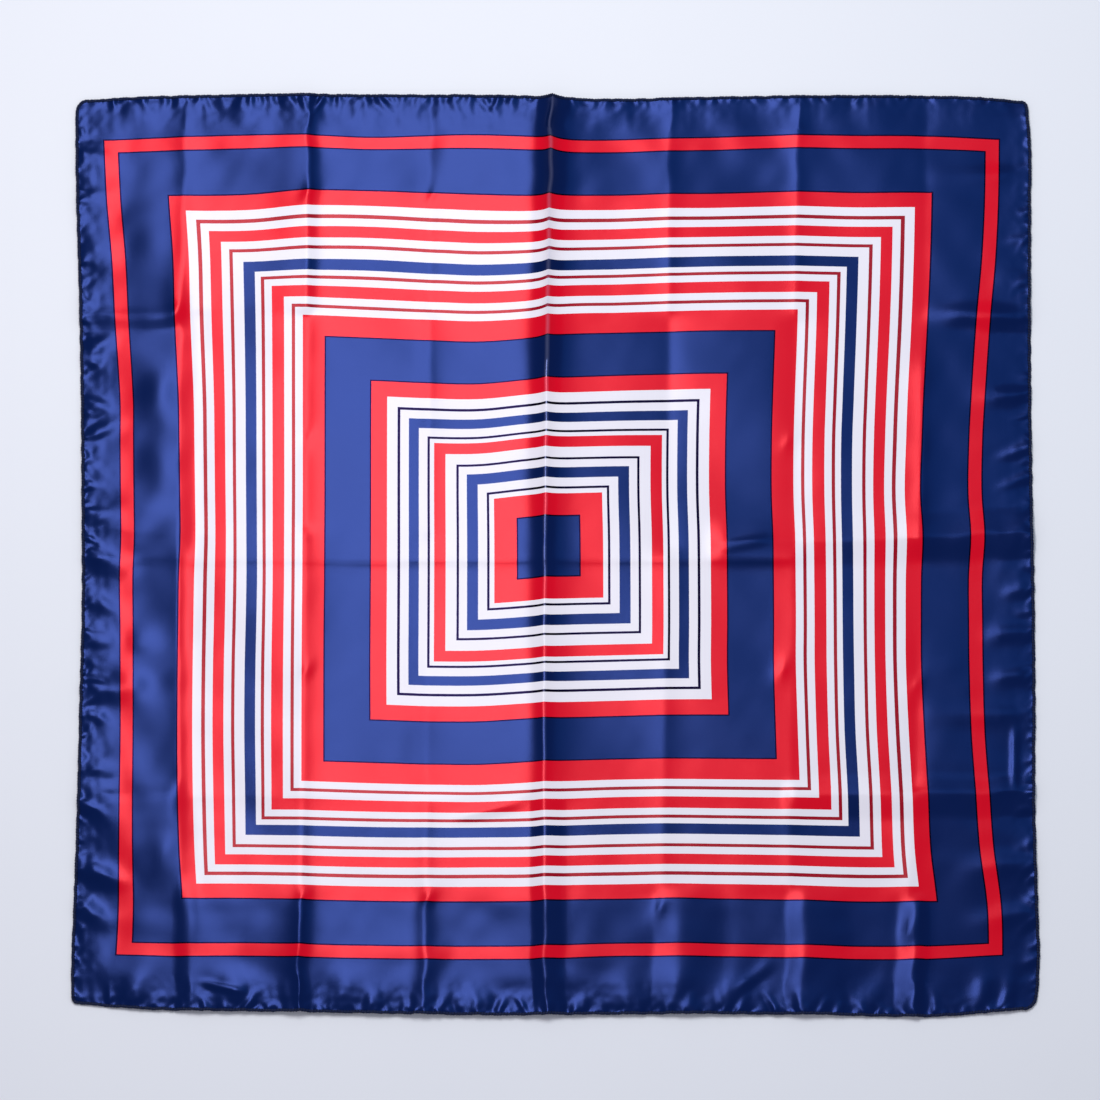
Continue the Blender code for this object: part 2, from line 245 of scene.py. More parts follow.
FOLD_LINES = {
    #                 upright  start   middle   end
    "column_1": FoldLine(True, -348.5, -354.0, -346.0),
    "column_2": FoldLine(True, -232.5, -234.5, -239.0),
    "column_3": FoldLine(True, -117.0, -118.5, -121.5),
    "column_4": FoldLine(True, -2.0, -8.5, -8.0),
    "column_5": FoldLine(True, 111.0, 106.5, 100.0),
    "column_6": FoldLine(True, 233.0, 226.0, 219.0),
    "column_7": FoldLine(True, 352.5, 345.0, 329.0),
    "row_1": FoldLine(False, -340.0, -341.0, -338.0),
    "row_2": FoldLine(False, -238.0, -239.5, -236.0),
    "row_3": FoldLine(False, -117.0, -117.0, -122.0),
    "row_4": FoldLine(False, 23.0, 8.0, 19.0),
    "row_4_low": FoldLine(False, -6.0, -8.0, -4.5),
    "row_5": FoldLine(False, 112.0, 112.0, 109.0),
    "row_6": FoldLine(False, 233.0, 236.0, 231.0),
    "row_7": FoldLine(False, 354.0, 352.0, 350.0),
}

# The fold whose crest is drawn paler, partly as rubbed ink and partly as a painted highlight.
WEAR_AND_HIGHLIGHT_FOLD = "column_4"

CREASES = (
    #       line      begin   end  lift_begin lift_end reach_low reach_high softness profile aside fade
    Crease("column_1", -450, -330, 2.2, 1.6, 11, 45, 3.5, Profile.TENT, 8, 36),
    Crease("column_1", -238, -95, 2.2, 2.0, 28, 9, 1.2),
    Crease("column_1", -450, -238, 0.5, 2.3, 110, 17, 1.0, Profile.TENT),
    Crease("column_1", -95, 0, 1.8, 1.6, 26, 6, 1.0),
    Crease("column_1", 0, 236, 2.4, 2.1, 110, 17, 0.8, Profile.TENT),
    Crease("column_1", 236, 450, 2.6, 1.5, 15, 40, 1.2),
    Crease("column_2", -450, -348, 3.5, 2.8, 10, 6, 0.8),
    Crease("column_2", -348, -238, 1.6, 1.0, 16, 7, 3.0),
    Crease("column_2", -238, 22, 1.2, 1.0, 14, 9, 3.0),
    Crease("column_2", 22, 236, -1.0, -1.0, 10, 8, 3.0),
    Crease("column_2", 236, 450, 1.9, 2.4, 24, 5, 1.0),
    Crease("column_2", -450, 60, 2.0, 2.9, 80, 110, 10.0, Profile.TENT, -17),
    Crease("column_2", 60, 450, 2.9, 2.3, 80, 110, 10.0, Profile.TENT, -17),
    Crease("column_3", -450, -350, 2.6, 1.6, 9, 10, 2.2),
    Crease("column_3", -350, -239, 1.2, 0.8, 14, 9, 3.0),
    Crease("column_3", -239, 15, -0.6, -0.6, 14, 12, 3.0),
    Crease("column_3", 15, 236, 0.7, 0.8, 14, 9, 2.0),
    Crease("column_3", 236, 450, -0.5, -0.6, 8, 8, 2.5),
    Crease("column_4", -450, -240, 3.3, 3.4, 11, 17, 0.7, Profile.TENT),
    Crease("column_4", -240, 10, 3.2, 5.0, 8, 9, 0.7),
    Crease("column_4", 10, 236, 5.0, 8.5, 7, 8, 0.7),
    Crease("column_4", 236, 450, 8.5, 10.5, 5.5, 7, 0.7),
    Crease("column_4", -450, 450, 3.4, 4.8, 120, 125, 6.0),
    Crease("column_5", -450, -330, 2.4, 1.6, 18, 34, 8.0, Profile.TENT, 17),
    Crease("column_5", -330, -238, 0.8, 0.8, 16, 16, 3.0),
    Crease("column_5", -238, 0, 0.5, 0.7, 16, 9, 2.0),
    Crease("column_5", 0, 234, -0.8, -1.0, 16, 12, 3.0),
    Crease("column_5", 234, 450, 0.8, 1.0, 14, 8, 1.2),
    Crease("column_6", -450, -330, 2.7, 1.8, 14, 36, 4.5, Profile.TENT, 15),
    Crease("column_6", -330, -238, 1.0, 0.8, 18, 12, 3.0),
    Crease("column_6", -238, 0, 0.4, 0.4, 16, 8, 2.0),
    Crease("column_6", 0, 232, -0.8, -1.0, 14, 12, 3.0),
    Crease("column_6", 232, 450, 1.0, 1.3, 11, 8, 1.0),
    Crease("column_7", -450, -340, 3.2, 2.8, 18, 7, 1.6, Profile.TENT, 8),
    Crease("column_7", -340, -238, 1.2, 1.0, 15, 9, 2.5),
    Crease("column_7", -238, 0, -1.2, -1.2, 12, 12, 2.5),
    Crease("column_7", 0, 200, 1.8, 1.2, 13, 8, 1.5, Profile.CUSP, 0, 60),
    Crease("column_7", 230, 450, -0.7, -0.9, 10, 12, 2.5),
    Crease("row_6", -450, -353, 3.0, 2.8, 15, 60, 1.2, Profile.TENT),
    Crease("row_6", -350, 345, -0.3, -0.3, 10, 10, 2.0),
    Crease("row_6", 358, 450, 1.1, 2.0, 12, 50, 1.5, Profile.TENT, 0, 60),
    Crease("row_4", -450, -235, 0.7, 0.5, 12, 8, 1.0),
    Crease("row_4_low", -450, 230, 1.1, 1.2, 5, 10, 1.0),
    Crease("row_4", 150, 450, 2.0, 4.6, 25, 26, 0.8, Profile.TENT),
    Crease("row_2", -450, -352, 1.2, 2.0, 60, 14, 2.0, Profile.TENT),
    Crease("row_2", -350, 220, 0.4, 0.4, 10, 10, 2.0),
    Crease("row_2", 220, 450, 2.2, 3.4, 22, 16, 1.2, Profile.TENT),
)

EDGE_WAVES = (
    #         side      along depth half_width lift lean
    EdgeWave(Side.LEFT, 392, 60, 14, 1.3, -0.30),
    EdgeWave(Side.LEFT, 346, 44, 10, 1.2, 0.20),
    EdgeWave(Side.LEFT, 300, 50, 12, 1.5, -0.25),
    EdgeWave(Side.LEFT, 192, 42, 10, 2.0, 0.50),
    EdgeWave(Side.LEFT, 148, 40, 8, 1.8, -0.30),
    EdgeWave(Side.LEFT, 112, 48, 8, 2.0, 0.35),
    EdgeWave(Side.LEFT, 34, 46, 10, 2.2, 0.0),
    EdgeWave(Side.LEFT, -5, 62, 12, 2.8, -0.30),
    EdgeWave(Side.LEFT, -44, 50, 10, 2.0, -0.45),
    EdgeWave(Side.LEFT, -86, 46, 9, 1.8, -0.10),
    EdgeWave(Side.LEFT, -133, 50, 9, 2.4, -0.15),
    EdgeWave(Side.LEFT, -156, 38, 7, 1.6, -0.40),
    EdgeWave(Side.LEFT, -212, 44, 10, 1.8, -0.10),
    EdgeWave(Side.LEFT, -247, 36, 7, 1.6, -0.45),
    EdgeWave(Side.LEFT, -309, 64, 10, 2.8, -0.35),
    EdgeWave(Side.LEFT, -346, 42, 12, 2.6, -0.50),
    EdgeWave(Side.RIGHT, 374, 104, 10, 1.4, -0.05),
    EdgeWave(Side.RIGHT, 309, 36, 6, 1.0, -0.10),
    EdgeWave(Side.RIGHT, 231, 116, 10, 2.4, 0.04),
    EdgeWave(Side.RIGHT, 154, 64, 9, 2.3, -0.05),
    EdgeWave(Side.RIGHT, 102, 44, 7, 1.6, -0.30),
    EdgeWave(Side.RIGHT, 74, 46, 6, 1.2, -0.35),
    EdgeWave(Side.RIGHT, -36, 40, 7, 1.2, -0.20),
    EdgeWave(Side.RIGHT, -80, 64, 9, 2.3, -0.05),
    EdgeWave(Side.RIGHT, -121, 54, 8, 2.0, -0.10),
    EdgeWave(Side.RIGHT, -160, 112, 10, 1.7, -0.02),
    EdgeWave(Side.RIGHT, -306, 84, 12, 1.8, -0.10),
    EdgeWave(Side.RIGHT, -352, 80, 10, 1.8, -0.20),
    EdgeWave(Side.BOTTOM, -400, 45, 14, 1.6, 0.15),
    EdgeWave(Side.BOTTOM, -296, 52, 16, 1.8, -0.20),
    EdgeWave(Side.BOTTOM, -205, 48, 14, 1.6, 0.25),
    EdgeWave(Side.BOTTOM, -168, 40, 12, 1.2, -0.15),
    EdgeWave(Side.BOTTOM, -70, 42, 16, 1.0, -0.20),
    EdgeWave(Side.BOTTOM, 62, 46, 16, 1.2, 0.20),
    EdgeWave(Side.BOTTOM, 150, 52, 16, 1.4, 0.45),
    EdgeWave(Side.BOTTOM, 286, 44, 14, 1.0, 0.20),
    EdgeWave(Side.BOTTOM, 396, 60, 10, 1.4, 0.10),
    EdgeWave(Side.BOTTOM, 420, 55, 8, 1.2, 0.15),
    EdgeWave(Side.TOP, -400, 40, 16, 1.2, 0.10),
    EdgeWave(Side.TOP, -300, 46, 14, 1.4, 0.10),
    EdgeWave(Side.TOP, -175, 36, 16, 1.0, -0.10),
    EdgeWave(Side.TOP, 60, 34, 18, 0.9, 0.0),
    EdgeWave(Side.TOP, 296, 60, 16, 0.8, 0.0),
    EdgeWave(Side.TOP, 392, 70, 16, 0.9, 0.1),
)

GATHERS = (
    #        side     begin  end  count shallowest deepest half_width lift lean lean_spread
    Gather(Side.LEFT, -436, 436, 46, 10, 30, 5.0, 1.30, 0.0, 0.70),
    Gather(Side.LEFT, -438, 438, 84, 4, 12, 3.0, 0.80, 0.0, 0.90),
    Gather(Side.LEFT, -440, 440, 150, 3, 9, 1.9, 0.60, 0.0, 1.00),
    Gather(Side.BOTTOM, -436, 432, 46, 12, 30, 5.0, 1.30, 0.0, 0.45),
    Gather(Side.BOTTOM, -438, 434, 84, 4, 12, 3.0, 0.80, 0.0, 0.80),
    Gather(Side.BOTTOM, -440, 436, 150, 3, 8, 1.9, 0.60, 0.0, 1.00),
    Gather(Side.RIGHT, -432, 432, 42, 9, 24, 4.6, 1.20, -0.20, 0.50),
    Gather(Side.RIGHT, -434, 434, 84, 4, 11, 3.0, 0.80, 0.0, 0.80),
    Gather(Side.RIGHT, -436, 436, 150, 3, 8, 1.9, 0.50, 0.0, 1.00),
    Gather(Side.TOP, -428, -20, 24, 9, 28, 4.6, 1.25, 0.0, 0.60),
    Gather(Side.TOP, -430, -14, 42, 4, 12, 3.0, 0.80, 0.0, 0.80),
    Gather(Side.TOP, -432, 432, 140, 3, 8, 1.9, 0.50, 0.0, 1.00),
    Gather(Side.TOP, 10, 428, 22, 8, 20, 4.6, 0.65, 0.0, 0.50),
    Gather(Side.TOP, 8, 430, 38, 4, 11, 3.0, 0.70, 0.0, 0.80),
)

DIMPLES = (
    #       x       y    lift  reach
    Dimple(-233, 355, 1.6, 5),
    Dimple(-116, 352, 1.3, 5),
    Dimple(-355, 240, 1.8, 6),
    Dimple(-235, -338, 1.6, 5),
    Dimple(-118, -340, 1.5, 5),
    Dimple(100, -348, 1.2, 6),
    Dimple(333, -370, 1.4, 6),
    Dimple(221, 109, 1.1, 5),
    Dimple(216, -115, 1.5, 6),
    Dimple(341, -130, 1.4, 6),
    Dimple(-232, 112, 1.0, 5),
    Dimple(-232, -117, 1.0, 5),
)

STREAKS = (
    #      x_from y_from  x_to   y_to width lift
    Streak(-330, -421, -288, -432, 3.5, 1.3),
    Streak(-95, -262, -30, -246, 5.0, 0.9),
    Streak(170, -430, 205, -400, 5.0, 0.9),
    Streak(149, 1, 204, 13, 5.0, 0.9),
    Streak(433, -170, 432, -236, 4.0, 1.2),
)

BULGES = (
    #      x     y   x_reach y_reach lift
    Bulge(-372, 156, 16, 26, 2.4),
    Bulge(-371, 86, 15, 24, 1.5),
    Bulge(-389, 44, 24, 14, 1.7),
    Bulge(-391, -88, 15, 12, 1.5),
    Bulge(-397, -130, 16, 14, 1.8),
    Bulge(-366, -296, 10, 18, 0.9),
    Bulge(-377, 330, 22, 60, 1.2),
    Bulge(-398, -405, 40, 45, 1.1),
)

SWELLS = (
    #    x_length y_length phase lift
    Swell(420.0, 310.0, 0.6, 0.45),
    Swell(190.0, 520.0, 5.2, 0.30),
    Swell(260.0, 150.0, 4.0, 0.30),
)


def smooth_step(value: Array, low: float, high: float) -> Array:
    """0 below low, 1 above high, and an even S between."""
    share = np.clip((value - low) / (high - low), 0.0, 1.0)
    return share * share * (3.0 - 2.0 * share)


def smooth_curve(places: Array, values: Array, at: Array) -> Array:
    """Reads a smooth curve through a table, held at its end values outside it.

    Args:
        places: Where the values stand, rising.
        values: The values, or one row of them for each place with a column for each reading.
        at: Where the curve is read.

    Returns:
        The curve at each reading.
    """
    at = np.clip(at, places[0], places[-1])
    index = np.clip(np.searchsorted(places, at, side="right") - 1, 0, len(places) - 2)
    before, after = np.maximum(index - 1, 0), np.minimum(index + 2, len(places) - 1)
    if values.ndim == 2:
        reading = np.arange(len(at))
        picks = [values[row, reading] for row in (before, index, index + 1, after)]
    else:
        picks = [values[row] for row in (before, index, index + 1, after)]
    span = places[index + 1] - places[index]
    share = (at - places[index]) / span
    slope_low = (picks[2] - picks[0]) / (places[index + 1] - places[before]) * span
    slope_high = (picks[3] - picks[1]) / (places[after] - places[index]) * span
    square, cube = share**2, share**3
    return (
        (2 * cube - 3 * square + 1) * picks[1]
        + (cube - 2 * square + share) * slope_low
        + (3 * square - 2 * cube) * picks[2]
        + (cube - square) * slope_high
    )


@dataclass(frozen=True)
class Lie:
    """The shape that the cloth takes on the surface: its outline in plan and its height."""

    base_lift: float = 0.7
    rest_softness: float = 0.5
    tent_softness: float = 1.4
    wander: float = 0.25  # how far a fold line strays from side to side
    wander_at_edge: float = 0.9
    wander_length: float = 13.0
    quick_wander: float = 0.6  # share of a second, quicker straying
    quick_rate: float = 2.3
    edge_zone: tuple[float, float] = (300.0, 430.0)  # from the middle, where folds stray more
    wave_share_at_edge: float = 0.5
    wave_rise: float = 0.3  # share of a wave's depth over which it rises to its full lift
    wave_fade_from: float = 0.3
    wave_skew: float = 0.4  # how much fuller a wave is on one side of its crest
    gather_share_at_edge: float = 0.25
    gather_rise: float = 0.25
    gather_taper: float = 1.2
    gather_dip: float = 0.55  # the hollow beside a pucker, as a share of its lift
    gather_dip_place: float = 1.6
    gather_places: tuple[float, float] = (0.1, 0.9)  # of a pucker, within its own pitch
    gather_widths: tuple[float, float] = (0.6, 1.3)
    gather_bends: tuple[float, float] = (-0.5, 0.5)
    gather_lifts: tuple[float, float] = (0.35, 1.3)
    crumple_count: int = 9
    crumple_lift: float = 0.018
    crumple_at_edge: float = 0.12
    crumple_reach: float = 70.0
    crumple_lengths: tuple[float, float] = (28.0, 75.0)
    crumple_even_length: float = 50.0  # length of a ripple of plain strength
    crumple_bends: tuple[float, float] = (90.0, 170.0)
    crumple_swing: float = 1.5
    fine_lift: float = 0.115
    fine_reach: float = 13.0
    fine_lengths: tuple[float, float] = (9.0, 20.0)
    fine_even_length: float = 14.0
    fine_swing: float = 1.8
    fine_loss: float = 0.6  # how much fainter the small crumples are on the right
    fine_loss_zone: tuple[float, float] = (-100.0, 200.0)
    streak_begin: tuple[float, float] = (-0.1, 0.3)  # shares of its run where a wrinkle rises
    streak_end: tuple[float, float] = (0.7, 1.1)  # and where it falls again
    dimple_turn: float = 0.8
    dimple_pull: float = 0.4  # how much further a pinch reaches along the folds than across them
    wear_and_highlight_from: float = 3.0  # lift of a crest that starts to turn paler, with wear and a painted highlight
    wear_and_highlight_range: float = 5.0
    seed: int = 11

    def edge_offset(self, side: Side, along: Array) -> Array:
        """How far an edge lies outside the nominal square.

        Args:
            side: The edge.
            along: Places along it.

        Returns:
            The distance outwards at each place.
        """
        places = np.array([station.along for station in EDGE_STATIONS])
        values = np.array([getattr(station, side.value) for station in EDGE_STATIONS])
        return smooth_curve(places, values, np.asarray(along, dtype=float))

    def inset(self, side: Side, x: Array, y: Array) -> tuple[Array, Array]:
        """Distance in from one edge, and the place along it.

        Args:
            side: The edge.
            x: Places from left to right.
            y: Places from bottom to top.

        Returns:
            The distance in, and the place along the edge.
        """
        if side is Side.LEFT:
            return x + HALF + self.edge_offset(side, y), y
        if side is Side.RIGHT:
            return HALF + self.edge_offset(side, y) - x, y
        if side is Side.TOP:
            return HALF + self.edge_offset(side, x) - y, x
        return y + HALF + self.edge_offset(side, x), x

    def fold_place(self, name: str, along: Array) -> Array:
        """Where a fold line lies.

        Args:
            name: The fold's name in FOLD_LINES.
            along: Places along it.

        Returns:
            The line's x, or its y where it runs level, at each place.
        """
        line = FOLD_LINES[name]
        share = (HALF - along) / SIDE if line.upright else (along + HALF) / SIDE
        near_edge = smooth_step(np.abs(along), *self.edge_zone)
        turn = along / self.wander_length + line.middle
        stray = np.sin(turn) + self.quick_wander * np.sin(self.quick_rate * turn)
        wander = (self.wander + self.wander_at_edge * near_edge) * stray
        return (
            line.start * (1 - share) * (1 - 2 * share)
            + line.middle * 4 * share * (1 - share)
            + line.end * share * (2 * share - 1)
            + wander
        )

    def crease_parts(self, crease: Crease, x: Array, y: Array) -> tuple[Array, Array]:
        """The distance from a crease's line, and its lift with its ends faded.

        Args:
            crease: The crease.
            x: Places from left to right.
            y: Places from bottom to top.

        Returns:
            The distance across the line, negative on its low side, and the lift along it.
        """
        along, across = (y, x) if FOLD_LINES[crease.line].upright else (x, y)
        distance = across - self.fold_place(crease.line, along) - crease.aside
        share = np.clip((along - crease.begin) / (crease.end - crease.begin), 0.0, 1.0)
        lift = crease.lift_begin + (crease.lift_end - crease.lift_begin) * share
        half_fade = crease.fade / 2
        if crease.begin > -HALF:
            lift = lift * smooth_step(along, crease.begin - half_fade, crease.begin + half_fade)
        if crease.end < HALF:
            lift = lift * (1.0 - smooth_step(along, crease.end - half_fade, crease.end + half_fade))
        return distance, lift

    def crease_lift(self, crease: Crease, x: Array, y: Array) -> Array:
        """What one crease adds to the height.

        Args:
            crease: The crease.
            x: Places from left to right.
            y: Places from bottom to top.

        Returns:
            The added height at each place.
        """
        distance, lift = self.crease_parts(crease, x, y)
        reach = np.where(distance > 0, crease.reach_high, crease.reach_low)
        near = np.sqrt(distance**2 + crease.softness**2) - crease.softness
        if crease.profile is Profile.TENT:
            rest = 1.0 - near / reach
            soft = self.tent_softness / reach
            return lift * 0.5 * (rest + np.sqrt(rest**2 + soft**2))
        return lift * np.exp(-near / reach)

    def wave_lift(self, wave: EdgeWave, x: Array, y: Array) -> Array:
        """What one broad wave adds to the height.

        Args:
            wave: The wave.
            x: Places from left to right.
            y: Places from bottom to top.

        Returns:
            The added height at each place.
        """
        inset, along = self.inset(wave.side, x, y)
        inwards = np.clip(inset / wave.depth, 0.0, 1.0)
        across = (along - wave.along - wave.lean * inset) / wave.half_width
        share = self.wave_share_at_edge
        rise = share + (1.0 - share) * smooth_step(inwards, 0.0, self.wave_rise)
        fade = 1.0 - smooth_step(inwards, self.wave_fade_from, 1.0)
        fuller = 1.0 + self.wave_skew * np.tanh(across)
        return wave.lift * rise * fade * np.exp(-(across**2)) * fuller

    def gather_lift(self, gather: Gather, x: Array, y: Array, dice: np.random.Generator) -> Array:
        """What one run of small puckers adds to the height.

        Args:
            gather: The run.
            x: Places from left to right.
            y: Places from bottom to top.
            dice: The source of its unevenness, with a fixed seed.

        Returns:
            The added height at each place.
        """
        inset, along = self.inset(gather.side, x, y)
        total = np.zeros_like(x)
        pitch = (gather.end - gather.begin) / gather.count
        near = inset < gather.deepest
        inset, along = inset[near], along[near]
        added = np.zeros_like(inset)
        for index in range(gather.count):
            centre = gather.begin + pitch * (index + dice.uniform(*self.gather_places))
            depth = dice.uniform(gather.shallowest, gather.deepest)
            width = gather.half_width * dice.uniform(*self.gather_widths)
            lean = gather.lean + gather.lean_spread * dice.uniform(-1.0, 1.0)
            bend = dice.uniform(*self.gather_bends)
            fullness = math.sqrt(depth / gather.deepest)
            lift = gather.lift * dice.uniform(*self.gather_lifts) * fullness
            inwards = np.clip(inset / depth, 0.0, 1.0)
            across = (along - centre - inset * (lean + bend * inwards)) / width
            share = self.gather_share_at_edge
            rise = share + (1.0 - share) * smooth_step(inwards, 0.0, self.gather_rise)
            hollow = self.gather_dip * np.exp(-((across + self.gather_dip_place) ** 2))
            ridge = np.exp(-(across**2)) - hollow
            added += lift * rise * (1.0 - inwards) ** self.gather_taper * ridge
        total[near] = added
        return total

    def crumple(self, x: Array, y: Array, dice: np.random.Generator) -> Array:
        """Faint uneven ripples all over the cloth, stronger near its edges.

        Args:
            x: Places from left to right.
            y: Places from bottom to top.
            dice: The source of their unevenness.

        Returns:
            The added height at each place.
        """
        inset = np.minimum.reduce([self.inset(side, x, y)[0] for side in Side])
        near = np.exp(-np.maximum(inset, 0.0) / self.crumple_reach)
        total = np.zeros_like(x)
        for _ in range(self.crumple_count):
            length, turn = dice.uniform(*self.crumple_lengths), dice.uniform(0.0, math.pi)
            phase = dice.uniform(0.0, math.tau)
            bend, bend_turn = dice.uniform(*self.crumple_bends), dice.uniform(0.0, math.pi)
            sideways = x * math.cos(bend_turn) + y * math.sin(bend_turn)
            swing = self.crumple_swing * np.sin(math.tau * sideways / bend + phase)
            run = (x * math.cos(turn) + y * math.sin(turn)) / length
            total += length / self.crumple_even_length * np.sin(math.tau * run + swing + phase)
        return total * (self.crumple_lift + self.crumple_at_edge * near)

    def fine_crumple(self, x: Array, y: Array, dice: np.random.Generator) -> Array:
        """Small sharp crumples beside the hems.

        Args:
            x: Places from left to right.
            y: Places from bottom to top.
            dice: The source of their unevenness.

        Returns:
            The added height at each place.
        """
        inset = np.minimum.reduce([self.inset(side, x, y)[0] for side in Side])
        total = np.zeros_like(x)
        for _ in range(self.crumple_count):
            length, turn = dice.uniform(*self.fine_lengths), dice.uniform(0.0, math.pi)
            phase = dice.uniform(0.0, math.tau)
            sideways = x * math.sin(turn + phase) + y * math.cos(turn + phase)
            swing = self.fine_swing * np.sin(sideways / length + phase)
            run = (x * math.cos(turn) + y * math.sin(turn)) / length
            total += length / self.fine_even_length * np.sin(math.tau * run + swing)
        strength = self.fine_lift * (1.0 - self.fine_loss * smooth_step(x, *self.fine_loss_zone))
        return total * strength * np.exp(-np.maximum(inset, 0.0) / self.fine_reach)

    def dimple_lift(self, dimple: Dimple, x: Array, y: Array) -> Array:
        """What one pinch adds to the height, drawn out along the folds that cross there.

        Args:
            dimple: The pinch.
            x: Places from left to right.
            y: Places from bottom to top.

        Returns:
            The added height at each place.
        """
        across, up = (x - dimple.x) / dimple.reach, (y - dimple.y) / dimple.reach
        arms = np.cos(2.0 * np.arctan2(up, across) + self.dimple_turn)
        return dimple.lift * np.exp(-np.hypot(across, up) * (1.0 + self.dimple_pull * arms))

    def streak_lift(self, streak: Streak, x: Array, y: Array) -> Array:
        """What one soft wrinkle, which fades at its ends, adds to the height.

        Args:
            streak: The wrinkle.
            x: Places from left to right.
            y: Places from bottom to top.

        Returns:
            The added height at each place.
        """
        run_x, run_y = streak.x_to - streak.x_from, streak.y_to - streak.y_from
        length = math.hypot(run_x, run_y)
        along = ((x - streak.x_from) * run_x + (y - streak.y_from) * run_y) / length**2
        across = ((y - streak.y_from) * run_x - (x - streak.x_from) * run_y) / length
        ends = smooth_step(along, *self.streak_begin) * (1.0 - smooth_step(along, *self.streak_end))
        return streak.lift * ends * np.exp(-((across / streak.width) ** 2))

    def bulge_lift(self, bulge: Bulge, x: Array, y: Array) -> Array:
        """What one mound adds to the height."""
        across, up = (x - bulge.x) / bulge.x_reach, (y - bulge.y) / bulge.y_reach
        return bulge.lift * np.exp(-(across**2) - up**2)

    def height(self, x: Array, y: Array) -> Array:
        """Height of the cloth's lower face over the surface that it lies on.

        Args:
            x: Places from left to right.
            y: Places from bottom to top.

        Returns:
            The height at each place, never below the surface.
        """
        x, y = np.asarray(x, dtype=float), np.asarray(y, dtype=float)
        height = np.full_like(x, self.base_lift)
        for swell in SWELLS:
            turn = math.tau * (x / swell.x_length + y / swell.y_length) + swell.phase
            height += swell.lift * np.sin(turn)
        height += sum(self.crease_lift(crease, x, y) for crease in CREASES)
        height += sum(self.dimple_lift(dimple, x, y) for dimple in DIMPLES)
        height += sum(self.streak_lift(streak, x, y) for streak in STREAKS)
        height += sum(self.bulge_lift(bulge, x, y) for bulge in BULGES)
        height += sum(self.wave_lift(wave, x, y) for wave in EDGE_WAVES)
        dice = np.random.default_rng(self.seed)
        height += sum(self.gather_lift(gather, x, y, dice) for gather in GATHERS)
        height += self.crumple(x, y, dice)
        height += self.fine_crumple(x, y, dice)
        return 0.5 * (height + np.sqrt(height**2 + self.rest_softness**2))

    def crest_wear_and_highlight(self, x: Array, y: Array, width: float) -> Array:
        """How much paler the cloth is along the top of its sharpest fold, partly from rubbed ink and
        partly as a painted highlight.

        Args:
            x: Places from left to right.
            y: Places from bottom to top.
            width: How far from the fold's line the wear reaches.

        Returns:
            The paling at each place, from 0 to 1.
        """
        wear_and_highlight_mask = np.zeros_like(x)
        for crease in (crease for crease in CREASES if crease.line == WEAR_AND_HIGHLIGHT_FOLD):
            distance, lift = self.crease_parts(crease, x, y)
            sharp = np.clip((lift - self.wear_and_highlight_from) / self.wear_and_highlight_range, 0.0, 1.0)
            wear_and_highlight_mask = np.maximum(wear_and_highlight_mask, sharp * np.exp(-((distance / width) ** 2)))
        return wear_and_highlight_mask

    def corner_centre(self, corner: Corner) -> tuple[float, float]:
        """Centre of a corner's arc.

        Args:
            corner: The corner.

        Returns:
            Its x and y.
        """
        x_side = Side.RIGHT if corner.x_sign > 0 else Side.LEFT
        y_side = Side.TOP if corner.y_sign > 0 else Side.BOTTOM
        arm = HALF - corner.radius
        x_out = float(self.edge_offset(x_side, np.array([corner.y_sign * arm]))[0])
        y_out = float(self.edge_offset(y_side, np.array([corner.x_sign * arm]))[0])
        reach_x, reach_y = HALF + x_out - corner.radius, HALF + y_out - corner.radius
        return corner.x_sign * reach_x, corner.y_sign * reach_y


# --- The print ----------------------------------------------------------------------------------


@dataclass(frozen=True)
class Stripe:
    """A stripe of the print: the half-side of its outer square, and its ink."""

    outer: float
    ink: Ink


@dataclass(frozen=True)
class PrintDrift:
    """How far one printed line has moved with the cloth, at DRIFT_STATIONS along it.

    The place is the line's own, measured from the print's middle, up or to the right.
    """

    place: float
    drifts: tuple[float, ...]


STRIPES = (
    Stripe(460.0, Ink.NAVY),
    Stripe(409.0, Ink.RED),
    Stripe(395.3, Ink.NAVY),
    Stripe(351.0, Ink.RED),
    Stripe(335.6, Ink.WHITE),
    Stripe(327.0, Ink.DEEP_RED),
    Stripe(323.7, Ink.WHITE),
    Stripe(316.4, Ink.RED),
    Stripe(306.0, Ink.WHITE),
    Stripe(298.7, Ink.DEEP_RED),
    Stripe(295.9, Ink.WHITE),
    Stripe(286.2, Ink.NAVY),
    Stripe(276.1, Ink.WHITE),
    Stripe(270.7, Ink.DEEP_RED),
    Stripe(267.4, Ink.WHITE),
    Stripe(260.6, Ink.RED),
    Stripe(249.7, Ink.WHITE),
    Stripe(242.4, Ink.DEEP_RED),
    Stripe(239.1, Ink.WHITE),
    Stripe(232.0, Ink.RED),
    Stripe(210.8, Ink.NAVY),
    Stripe(168.0, Ink.RED),
    Stripe(152.0, Ink.WHITE),
    Stripe(142.1, Ink.OVERLAP),
    Stripe(139.9, Ink.WHITE),
    Stripe(131.4, Ink.NAVY),
    Stripe(122.0, Ink.WHITE),
    Stripe(113.9, Ink.OVERLAP),
    Stripe(111.7, Ink.WHITE),
    Stripe(107.4, Ink.RED),
    Stripe(96.6, Ink.WHITE),
    Stripe(86.5, Ink.OVERLAP),
    Stripe(84.3, Ink.WHITE),
    Stripe(76.6, Ink.NAVY),
    Stripe(66.4, Ink.WHITE),
    Stripe(57.9, Ink.OVERLAP),
    Stripe(55.5, Ink.WHITE),
    Stripe(50.9, Ink.RED),
    Stripe(29.2, Ink.NAVY),
)
OVERLAP_WIDTH = 1.4  # dark line where red and navy inks meet
RAMP_SPLITS = (0.0, 115.0, 225.0, 340.0, 460.0)  # half-sides where one stripe ramp follows another

